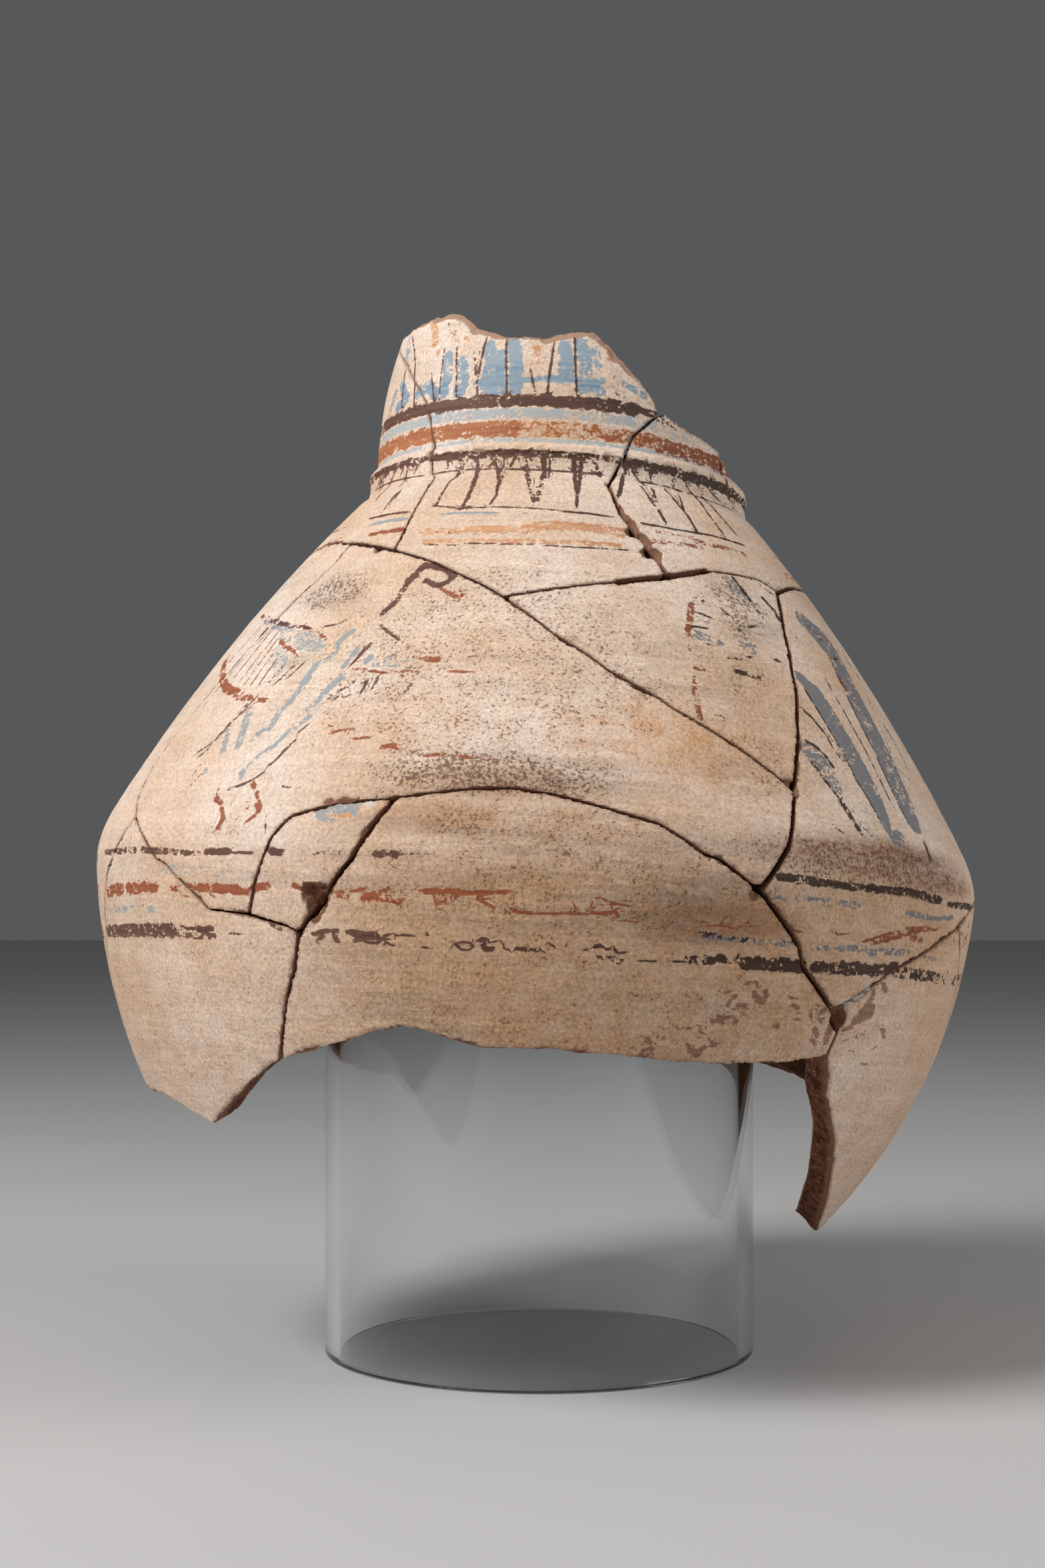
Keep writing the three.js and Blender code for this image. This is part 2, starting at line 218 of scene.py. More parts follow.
PENDANT = (
    (0.8, 0.97, ((-38, 294.4), (-29.2, 294.8), (-14.8, 294.4), (-4.4, 294.2), (4.4, 294.1), (12.5, 294.1))),
    (0.8, 0.97, ((-71.2, 294.7), (-56.8, 294.8), (-43.2, 294.4))),
    (0.8, 0.97, ((22.9, 293.5), (32, 293.4), (41.3, 292.6), (50.9, 291.9), (60.3, 291.9))),
    (1.1, 0.9, ((-34.1, 299.8), (-33.6, 296.4))),
    (1.1, 0.9, ((-29.7, 299.8), (-29.4, 294.6), (-30.3, 289.8), (-30.2, 284.2), (-29.8, 281))),
    (0.8, 0.8, ((-27.8, 299.4), (-28.4, 295.9), (-29.3, 291.9))),
    (1.7, 0.97, ((-24.9, 299.9), (-23.7, 295.6), (-22.5, 289.2), (-22.1, 283.6), (-22.3, 279.6))),
    (1.5, 0.85, ((-20.6, 279), (-22.7, 278.3))),
    (1.1, 0.95, ((-19.7, 299.1), (-17.8, 295.4), (-15.7, 288.9), (-14.9, 283.6), (-15.7, 280.2))),
    (0.8, 0.8, ((-16.4, 294), (-15.2, 291.1), (-15, 285.7))),
    (0.8, 0.85, ((-18.6, 297.6), (-20, 295.4))),
    (0.8, 0.85, ((-15.8, 298.5), (-15.8, 294.4))),
    (1.1, 0.85, ((-12.5, 298.8), (-13.9, 295.3))),
    (1.5, 0.75, ((-9.8, 299), (-9.1, 294.2), (-6.9, 286.4), (-5.2, 280.7))),
    (1.5, 0.7, ((-4.8, 298.7), (-4.2, 294.4), (-4.2, 286.5), (-4.8, 280.7))),
    (0.8, 0.6, ((-2.6, 298.8), (-2.7, 291.5))),
    (1.7, 0.85, ((4, 298.8), (4.4, 294.7), (4.8, 287.1))),
    (1.5, 0.97, ((6.3, 298.6), (6, 292.3), (4.9, 285.8), (4.6, 280.5))),
    (1.7, 0.9, ((9.6, 298.9), (10.9, 295.7), (11.5, 293.6))),
    (1.1, 0.95, ((19, 298.9), (19.2, 295.7))),
    (0.8, 0.9, ((20.3, 298.1), (22.4, 295.1), (24.1, 292.7))),
    (1.5, 0.97, ((18.4, 294.2), (15.6, 286.1))),
    (1.1, 0.85, ((23.3, 291.4), (24.3, 286.5), (25.5, 281.7), (26, 278.5))),
    (1.1, 0.7, ((26.6, 291.1), (25.6, 284.2), (25.8, 279))),
    (0.8, 0.8, ((26.7, 298.3), (27.3, 293.9))),
    (1.1, 0.95, ((31.2, 291.9), (32.5, 287.1), (33.9, 282.5), (34.2, 276.6))),
    (0.8, 0.85, ((34.6, 296.7), (35.2, 291.6), (33.5, 284.1))),
    (1.1, 0.97, ((38.6, 297.6), (42.2, 292.1), (42.2, 285.9), (43.1, 277.3))),
    (0.8, 0.9, ((42.6, 298.5), (46.3, 294.9))),
    (1.1, 0.95, ((45.9, 292.8), (47, 287.2), (48.9, 279.9))),
    (0.8, 0.9, ((47.6, 297.5), (54.7, 293.7))),
    (0.9, 0.97, ((-55.7, 300.4), (-58.6, 295.7), (-59.1, 292), (-56.6, 286.9))),
    (0.9, 0.97, ((-50, 301.2), (-50.5, 295.5), (-50.5, 291.7))),
    (0.8, 0.95, ((-48.2, 287.7), (-47.1, 281.5))),
    (0.9, 0.97, ((-44.1, 300.7), (-46.4, 296.7))),
    (0.9, 0.97, ((-59.6, 300.2), (-64.3, 296.4), (-65.8, 292.3))),
    (0.8, 0.95, ((-51.8, 300.1), (-53.4, 296.5))),
    (0.8, 0.95, ((-62.4, 299.3), (-67.5, 295.7))),
    (0.8, 0.9, ((-65.6, 298.6), (-70.8, 295.5))),
    (0.8, 0.9, ((-46.4, 300.6), (-48.3, 297.4))),
    (1.1, 0.7, ((-47.2, 288.6), (-46.2, 283.7))),
    (0.8, 0.8, ((-30.2, 280.2), (-23.2, 278.6), (-16.5, 278.6))),
    (0.8, 0.75, ((-14.9, 278.8), (-7, 278.5), (-0.5, 278.2))),
    (1.1, 0.97, ((1.5, 277.8), (6.9, 277.7), (12.5, 277.3))),
    (1.3, 0.97, ((-49.7, 278.3), (-42.7, 278.8), (-37.5, 278.5))),
    (1.1, 0.9, ((19.7, 276.3), (27.7, 275.9), (37.4, 276.4), (49, 275.9))),
    (0.8, 0.6, ((-26.7, 264.6), (-19.1, 263.7))),
    (0.8, 0.7, ((-17.8, 264.5), (-9.6, 264.3), (-4.3, 264.6))),
    (0.8, 0.7, ((-1.6, 264.3), (5, 264.4), (14.6, 265.2))),
    (0.6, 0.55, ((-25.9, 269.2), (-15.7, 268), (-4.6, 268.9))),
)
PENDANT_BLUE = (
    (1.3, 0.92, ((-26.4, 276.4), (-20.9, 276.6), (-14.1, 276.4))),
    (1.7, 0.92, ((-47.1, 275.2), (-41.7, 275.7), (-36.1, 275.6))),
    (0.8, 0.5, ((-8.3, 276.6), (-0.7, 275.8))),
)
PENDANT_RED = (
    (2.3, 0.85, ((-44, 270.9), (-39.1, 271.3), (-35, 271.3))),
    (1.9, 0.4, ((19.2, 274), (25.3, 273.6), (32.4, 273.8))),
    (1.9, 0.62, ((20.5, 269.9), (26.1, 270.5), (33, 270.5))),
    (2.1, 0.6, ((32, 272.7), (39.5, 272.4), (46.3, 271.9))),
)
PENDANT_OCHRE = (
    (3.4, 0.72, ((-28.4, 269.4), (-19, 269.7), (-8.9, 270.2))),
    (2.2, 0.66, ((-27, 265.8), (-12, 265.4), (2, 266), (13, 266.6))),
    (4.2, 0.75, ((-6.1, 270.6), (2.3, 272.4), (9.6, 272.2), (13.9, 271.6))),
    (0.8, 0.8, ((-4.2, 272.9), (0.1, 273.8))),
    (0.8, 0.7, ((3.8, 272.1), (10.3, 272.3))),
)
FIGURE_DARK = (
    (2.3, 0.9, ((-25.9, 251.4), (-26.4, 247.7), (-26.6, 243.6), (-28.2, 239.1))),
    (3, 0.9, ((-26, 250.9), (-25.2, 253.8), (-24.2, 256.3), (-22.1, 255.7))),
    (2.4, 0.9, ((-22.1, 255.7), (-19.4, 254.3), (-17.8, 252.1), (-18.6, 250.1), (-20.3, 248.7),
        (-22.8, 250.7))),
    (1.1, 0.85, ((-27.2, 234.5), (-25.1, 231.8), (-23.2, 229.6))),
    (0.9, 0.7, ((-22.9, 229.2), (-21.6, 228.2))),
    (1.6, 0.9, ((-27.7, 228.2), (-28.4, 225.9), (-28.9, 223.6))),
    (0.9, 0.8, ((-28.9, 223.6), (-29.5, 220.9))),
    (1.2, 0.9, ((-40, 180.6), (-38.1, 182), (-36.7, 183.5))),
    (0.9, 0.85, ((-36.7, 183.5), (-35.6, 185.8))),
    (1.3, 0.85, ((-35.2, 188.1), (-34.3, 190.7), (-33.7, 193.7), (-33, 195.8))),
    (0.9, 0.8, ((-32.9, 198.9), (-32.1, 201.1))),
    (1, 0.6, ((-30.9, 208.8), (-30.4, 209.8))),
    (1, 0.6, ((-29.5, 209.6), (-29.2, 210.5))),
    (1, 0.6, ((-27.7, 210.4), (-27.2, 211))),
    (1.2, 0.6, ((-25.8, 211), (-25.5, 215))),
    (1.2, 0.6, ((-24.3, 212.8), (-24, 216.1))),
    (2.6, 0.4, ((-29.9, 213), (-28, 214.2), (-26.7, 215.5))),
    (1.2, 0.55, ((-19.1, 212.1), (-18.4, 216.1))),
    (1.2, 0.5, ((-15.9, 215.8), (-15.3, 213.5))),
    (0.7, 0.6, ((-31.7, 181.2), (-29.5, 180.6))),
    (0.8, 0.6, ((-32.4, 170.8), (-32.2, 167.8))),
    (1, 0.6, ((-9.4, 171.2), (-7.5, 169.9))),
    (0.7, 0.75, ((-59.4, 240.7), (-62.8, 226.1))),
    (0.7, 0.75, ((-56.2, 239.4), (-58.3, 223.1))),
    (0.7, 0.8, ((-53.4, 237.8), (-54.8, 220.4))),
    (0.7, 0.8, ((-50.8, 235.4), (-52, 218.5))),
    (0.7, 0.8, ((-49.4, 232.2), (-49.9, 217.1))),
    (0.7, 0.75, ((-47.7, 227.6), (-48.1, 216.4))),
    (0.7, 0.75, ((-45.7, 224.9), (-46, 215.6))),
    (0.7, 0.7, ((-43, 222.1), (-44.1, 215.8))),
    (0.7, 0.8, ((-40.4, 224.1), (-41.7, 217.3))),
    (0.7, 0.85, ((-38.7, 222.9), (-40.3, 218))),
    (0.7, 0.7, ((-40.8, 220.9), (-42.4, 216))),
    (0.5, 0.6, ((-54, 246.8), (-54.8, 236.2), (-57.2, 223.3), (-59, 210.9))),
    (1.9, 0.6, ((-65.9, 245.4), (-55.8, 240.8), (-49.1, 237.9), (-44.8, 236.4))),
    (1.2, 0.65, ((-44.8, 236.4), (-41, 235.3))),
    (0.9, 0.85, ((-38.8, 235.7), (-36.6, 236.1))),
    (0.7, 0.8, ((-36.1, 236.3), (-34.7, 237.8))),
    (0.9, 0.8, ((-44.7, 212.1), (-46.7, 204.2), (-48.4, 197.2), (-51.1, 193.5))),
    (0.7, 0.6, ((-46.2, 209.1), (-47.4, 203.4), (-48.4, 198.6))),
    (0.9, 0.7, ((-49.9, 192.2), (-48.8, 195))),
    (0.7, 0.7, ((-47.3, 185.5), (-48.1, 182.1))),
    (0.7, 0.7, ((-48.4, 189.2), (-49, 186.1))),
)
FIGURE_RED = (
    (1.7, 0.8, ((-19.7, 248.4), (-17.8, 246.2), (-16.1, 244.5), (-15.2, 245.2))),
    (1, 0.6, ((-15.2, 245.2), (-15.7, 246.7))),
    (3, 0.8, ((-66.3, 229.9), (-62.8, 224.9), (-59.3, 220.5))),
    (3.4, 0.8, ((-59.3, 220.5), (-54.2, 216.1), (-49.3, 213.3))),
    (2.6, 0.65, ((-49.2, 212.4), (-46, 211.4))),
    (1.6, 0.7, ((-45.3, 210.9), (-41.3, 210.1))),
    (0.8, 0.7, ((-44.7, 208.5), (-46.1, 206))),
    (1.6, 0.75, ((-48, 231.9), (-45.6, 229.6), (-42.9, 227.7))),
    (1.2, 0.6, ((-42.5, 227.2), (-40.5, 224.1), (-40.6, 222))),
    (1.4, 0.6, ((-44.9, 236.6), (-41.1, 234.6), (-36.9, 231.1))),
    (2.4, 0.9, ((-17.8, 222.9), (-15.8, 222.7))),
    (0.9, 0.6, ((-20.6, 223.8), (-18.9, 223.4))),
    (0.9, 0.6, ((-24.4, 223.9), (-22.8, 224.1))),
    (1.1, 0.8, ((-28.1, 219.7), (-26.5, 219.6))),
    (1.1, 0.8, ((-25.7, 218.9), (-23, 218.2))),
    (0.9, 0.7, ((-22, 218.4), (-18.5, 218.6))),
    (1.1, 0.8, ((-13.5, 218.8), (-11.2, 218.7))),
    (0.9, 0.7, ((-29.5, 201.4), (-28.1, 200.5))),
    (1.2, 0.8, ((-27.5, 198.5), (-26.4, 199.1), (-25.1, 199.3))),
    (1.2, 0.7, ((-23.8, 196.5), (-22.1, 196.8))),
    (2, 0.85, ((-19.9, 193.8), (-18.9, 194.3), (-17.6, 193.7))),
    (1, 0.7, ((-15.7, 192.1), (-15.1, 192.8))),
    (1.3, 0.7, ((-14, 191.4), (-11.7, 192))),
    (1.3, 0.75, ((-11, 191.6), (-9, 191.2))),
    (1, 0.6, ((-8.6, 191.2), (-3.4, 190.6))),
    (1, 0.7, ((-42, 180.7), (-41.9, 178.6))),
    (2, 0.8, ((-41.6, 177.7), (-40.3, 176))),
    (1.8, 0.75, ((-39.9, 174.3), (-39, 171.3), (-39.4, 169.2))),
    (1.2, 0.7, ((-39.4, 169.2), (-39.8, 168))),
    (2, 0.75, ((-36.8, 183), (-36, 181.1))),
    (1.6, 0.75, ((-35.2, 179.2), (-34.7, 177.5))),
    (2.6, 0.8, ((-34.4, 175.8), (-33.9, 174.5))),
    (1.2, 0.75, ((-33.9, 174.1), (-34.2, 172), (-35.1, 170.4))),
    (1.6, 0.6, ((-35.9, 176.2), (-35.7, 174.6))),
)
FIGURE_BLUE = (
    (7, 0.58, ((-47.8, 234.8), (-42.6, 231.5), (-37.9, 229.4))),
    (5.2, 0.55, ((-47.1, 228.4), (-44.3, 223.7), (-42.4, 220.6))),
    (3.4, 0.65, ((-59.2, 241.6), (-47.4, 236.1))),
    (2.5, 0.8, ((-32.4, 233), (-33.8, 229.9), (-33.7, 225.2))),
    (2.8, 0.75, ((-33.9, 225.2), (-35.9, 221.7), (-36.6, 218.1))),
    (3.4, 0.85, ((-36.2, 217.6), (-36.5, 215.8))),
    (2.8, 0.78, ((-36.6, 214.8), (-37, 210.3), (-37.9, 207.3))),
    (2.8, 0.78, ((-38.2, 206.8), (-38.2, 203.3), (-38.3, 200.6))),
    (2.3, 0.9, ((-39.4, 199.8), (-40, 198.5))),
    (1.4, 0.6, ((-40.1, 198.1), (-40.6, 196.4))),
    (2.5, 0.9, ((-29.6, 226.2), (-29.9, 224.9))),
    (2.3, 0.8, ((-30.3, 222.6), (-30.6, 220.8))),
    (3.1, 0.85, ((-30.1, 217.1), (-31, 214.4), (-31.5, 212.6))),
    (2.3, 0.75, ((-32, 211.7), (-32.2, 209), (-33.2, 206.4))),
    (2.8, 0.72, ((-32.5, 203.7), (-33.6, 201.6), (-34.5, 199.9))),
    (1.7, 0.75, ((-34.7, 199), (-35.3, 196.8), (-36.1, 193.8))),
    (1.4, 0.75, ((-36.6, 193.8), (-37.8, 191.3), (-38.8, 188.8))),
    (2.3, 0.85, ((-39.3, 186.2), (-38.9, 184))),
    (3.1, 0.66, ((-44.5, 207.1), (-43.6, 201.6), (-42.6, 195.2))),
    (2.5, 0.68, ((-47, 202.9), (-46.1, 197.4), (-45, 192.8))),
    (2.5, 0.4, ((-47.8, 191.8), (-46.5, 186.3))),
    (2.3, 0.5, ((-48.7, 196.3), (-48.5, 193.6))),
    (2.5, 0.8, ((-26.7, 223.7), (-27, 221.9))),
    (2.3, 0.75, ((-23.4, 223.6), (-24.1, 221.8))),
    (1.7, 0.55, ((-25.6, 221), (-21.4, 220.9))),
    (1.7, 0.5, ((-20.6, 222.7), (-19.5, 222.2))),
    (2.6, 0.95, ((-25.6, 172.8), (-23.8, 173.7), (-22, 174.6))),
    (3, 0.95, ((-21.7, 175), (-21.2, 175.8))),
    (2.4, 0.95, ((-21.1, 175.6), (-21, 173.4))),
    (1.6, 0.8, ((-25.3, 171.6), (-24, 170.6), (-23, 170.9))),
)
FIGURE_OCHRE = (
    (2.2, 0.6, ((-24, 172), (-21.6, 172.4))),
)
TRIANGLE_RED = (
    (2.3, 0.65, ((24.9, 248.2), (23.4, 242.2), (22.3, 236.9))),
    (1.2, 0.5, ((22.4, 236.9), (21.9, 231.4))),
    (1.2, 0.5, ((26.1, 249.9), (27.7, 252.7))),
    (1.5, 0.6, ((21.4, 221.9), (20.9, 215.9))),
    (2, 0.7, ((20.9, 213.1), (20.9, 208.8))),
    (1.8, 0.65, ((22.2, 225.4), (23.4, 225))),
)
TRIANGLE_DARK = (
    (1.7, 0.8, ((37.8, 260.8), (38.5, 258.1), (39, 255.2))),
    (1.2, 0.7, ((39, 255.2), (39.6, 251.4), (40.5, 248.2))),
    (1, 0.7, ((35.1, 259.5), (35.9, 257.4))),
    (2, 0.9, ((29, 226.3), (30.4, 225.8))),
    (1.5, 0.8, ((30.4, 225.8), (31.9, 225.1), (33, 225.4))),
    (1.2, 0.7, ((28.2, 219.3), (29.5, 217.4))),
    (1.4, 0.55, ((23.6, 210.3), (24.6, 209.5))),
    (1, 0.7, ((23.7, 240), (26.2, 239.9))),
    (1.4, 0.7, ((25.7, 245.1), (27.8, 244.1))),
    (1.9, 0.7, ((43.7, 255.5), (44.8, 251.8), (45.2, 247.1))),
    (1.2, 0.7, ((31.5, 241.4), (33, 241.8))),
    (1, 0.7, ((32.7, 240.8), (34.1, 240.1))),
    (1, 0.6, ((28.4, 230.4), (30.4, 230.7))),
    (1, 0.6, ((30.9, 230.6), (33, 232.1))),
    (1.5, 0.7, ((37.9, 233.1), (38.9, 232.5))),
    (1.2, 0.6, ((26.5, 250.5), (27.7, 249.9))),
    (0.9, 0.6, ((27.7, 209.4), (28.5, 210.2))),
    (0.9, 0.7, ((31.2, 247.6), (32.4, 245.8))),
    (0.9, 0.7, ((33.6, 245), (34.4, 242.9))),
    (0.9, 0.7, ((35.2, 242.7), (37, 243.7))),
    (0.9, 0.6, ((25.2, 234.5), (25.9, 234.2))),
)
TRIANGLE_BLUE = (
    (3.4, 0.55, ((23.9, 237.1), (25.6, 236.4))),
    (2.4, 0.5, ((26.1, 236.7), (27.8, 235.4))),
    (5.5, 0.6, ((36, 258.8), (37.2, 255.9), (38.4, 252.7))),
    (5.5, 0.45, ((32.4, 237.1), (33.6, 235.9))),
    (4, 0.3, ((25.7, 243.7), (27.6, 243.1))),
    (2, 0.4, ((27.5, 209.6), (28.5, 210.2))),
    (3.4, 0.55, ((35, 252.4), (37.4, 251.9))),
)
LEAF_DARK = (
    (0.9, 0.8, ((42.3, 223.5), (43, 218), (43.6, 212.4), (44.2, 206.9), (44.6, 201.3), (44.8, 195.7), (45.7, 190.2),
        (46.2, 184.6))),
    (0.8, 0.75, ((55.9, 239.2), (55.1, 232.5), (54.2, 225.6), (53.7, 218.8), (53.5, 211.9), (53.4, 205.1), (53.1, 198.3),
        (53.1, 191.4), (53.4, 184.6))),
    (1.2, 0.85, ((39.6, 216.6), (41.1, 213.8), (42.3, 209.4), (42.7, 204.6), (43.7, 201.2))),
    (0.9, 0.8, ((49.8, 229.6), (50, 223.4), (50.4, 216.5), (50.6, 210.7))),
    (0.9, 0.8, ((50.6, 210.7), (50.9, 204.1), (51, 198.2), (51.1, 191.2))),
    (1.4, 0.8, ((37.3, 206), (38.8, 205), (40.3, 202.4), (41.1, 198.4))),
    (1.2, 0.85, ((37.2, 198.6), (38.5, 193.5), (39.7, 189))),
    (2.2, 0.75, ((40.1, 187.4), (40.8, 182), (41.6, 178.1))),
    (1, 0.75, ((68.2, 245.5), (66.3, 239.7), (67.5, 235.6))),
    (0.6, 0.5, ((65.3, 229.9), (62.1, 219), (59.9, 208.9))),
    (1.2, 0.45, ((47, 244), (48.4, 241.5), (49.3, 239.3))),
    (1.4, 0.6, ((55.4, 249), (57.5, 244.2))),
    (2.2, 0.55, ((57.3, 239.8), (61, 239.4))),
    (0.8, 0.6, ((37, 179.5), (38.1, 177.7))),
    (0.6, 0.5, ((58.6, 203.7), (63.8, 199.1))),
    (1, 0.5, ((45.6, 260.3), (48.4, 257.6))),
)
LEAF_BLUE = (
    (6, 0.65, ((48.3, 178.5), (49.5, 178.4))),
    (3, 0.5, ((42.3, 180.8), (43.4, 178.6))),
    (3, 0.55, ((64.8, 218.2), (65.2, 212.6), (64.5, 205.4))),
    (3, 0.35, ((39.8, 186.9), (41.5, 185.9))),
    (4, 0.35, ((65.8, 249.3), (63.2, 243.9))),
    (2, 0.4, ((43, 180.5), (44.6, 176.4))),
)
LEAVES = (
    (0.92, ((42.6, 228.4, 4.3), (44.4, 223.5, 8.8), (45.2, 218.0, 9.3), (45.7, 212.4, 9.4),
        (46.2, 206.9, 9.3), (46.6, 201.3, 9.5), (46.9, 195.7, 10.0), (47.4, 190.2, 8.6),
        (47.5, 184.6, 6.6), (47.5, 179.1, 3.0))),
    (0.85, ((54.4, 250.9, 8.5), (58.2, 245.6, 14.5), (59.0, 239.2, 11.9), (57.9, 232.5, 11.4),
        (57.2, 225.6, 12.6), (56.7, 218.8, 13.2), (56.5, 211.9, 13.4), (56.2, 205.1, 12.9),
        (55.7, 198.3, 12.3), (55.5, 191.4, 11.7), (55.1, 184.6, 8.3))),
    (0.75, ((36.8, 203.6, 4.5), (38.4, 200.0, 8.0), (39.4, 196.1, 6.9), (40.0, 192.0, 4.5))),
)
SPECKS = (
    (-6, 186.5, 21, 10, 1.1),
    (-15.1, 185.9, 6, 4.6, 0.7),
    (-9.3, 194.7, 16, 12, 0.6),
    (35.9, 250.3, 8.9, 14.8, 0.9),
    (27.6, 227.5, 11.1, 14.3, 0.5),
    (27, 195.1, 8, 15, 0.5),
    (17.4, 224.9, 13, 18, 0.4),
    (-42.6, 248.5, 12, 9, 1.05),
    (-74.8, 258.8, 21.0, 6.7, 0.5),
    (-0.6, 171.4, 20, 9, 0.55),
    (-38.3, 168.8, 6.1, 5.2, 0.5),
    (-8, 222, 38, 48, 0.62),
    (4, 154, 34, 24, 0.5),
    (4, 122, 36, 28, 0.35),
    (44, 168, 30, 12, 0.9),
    (-60, 130, 40, 50, 0.2),
    (110, 210, 45, 45, 0.4),
    (-130, 190, 50, 45, 0.45),
    (180, 150, 40, 40, 0.4),
)
FLAKES = (
    (60, 104, 16, 20, 0.45),
    (20, 116, 24, 16, 0.4),
    (-24.5, 147.6, 1.2, 2.3, 0.9),
    (36.5, 189.2, 1.9, 4.4, 0.5),
)
STAIN = (
    (44, 171, 26, 8, 1),
    (58, 166, 16, 6, 0.8),
    (22, 147, 13, 8, 0.75),
    (-11.8, 173, 9, 6, 0.4),
    (-4, 184, 14, 6, 0.5),
    (3.6, 231.3, 1.4, 2.3, 0.7),
    (13.3, 215.9, 1.5, 2.0, 0.7),
    (150, 168, 40, 7, 0.6),
)

NECK_BANDS_DARK_AND_ROLL_SHADE = (
    (4.3, 0.95, ((-75, 317.9), (22, 317.9))),
    (2.6, 0.75, ((22, 318), (31, 317))),
    (4, 0.6, ((31, 316), (80, 316))),
    (4.2, 0.5, ((80, 317.5), (262, 317.6))),
    (4.2, 0.72, ((-98, 317.6), (-75, 317.9))),
    # From here to the end of this table: the dark line under the neck roll, partly its dark paint and partly painted
    # shade beneath the roll's overhang
    (2.3, 0.8, ((-95, 299.9), (-38, 299.8))),
    (2.7, 0.9, ((-38, 299.8), (-8, 299.8))),
    (2.2, 0.75, ((-8, 299.8), (19, 299.6))),
    # On the right sherd this stroke sits lower and stronger: mostly painted shadow under the roll, with some paint
    (3.2, 0.88, ((19, 298.9), (85, 298.6))),
    (2.8, 0.6, ((85, 299.5), (265, 299.7))),
)
NECK_BANDS_BLUE = (
    (3.4, 0.8, ((-75, 313.7), (0, 313.7))),
    (3.2, 0.6, ((0, 313.7), (30, 313.5))),
    (3.2, 0.5, ((31, 312), (80, 312))),
    (3.4, 0.45, ((80, 313.5), (262, 313.6))),
    (3.4, 0.62, ((-98, 313.6), (-75, 313.7))),
    (1.6, 0.78, ((-180, 304.6), (180, 304.6))),
)
NECK_BANDS_RED = (
    (5.3, 0.95, ((-82, 308.6), (-13, 308.6))),
    (4.8, 0.5, ((-13, 308.6), (31, 308.2))),
    (5, 0.72, ((31, 307.2), (82, 307))),
    (5.2, 0.55, ((82, 308.2), (258, 308.4))),
    (5.2, 0.74, ((-102, 308.4), (-82, 308.6))),
)
NECK_BANDS_OCHRE = (
    (5, 0.7, ((-13, 308.6), (31, 308.2))),
    (5, 0.5, ((31, 307.2), (278, 308.2))),
)
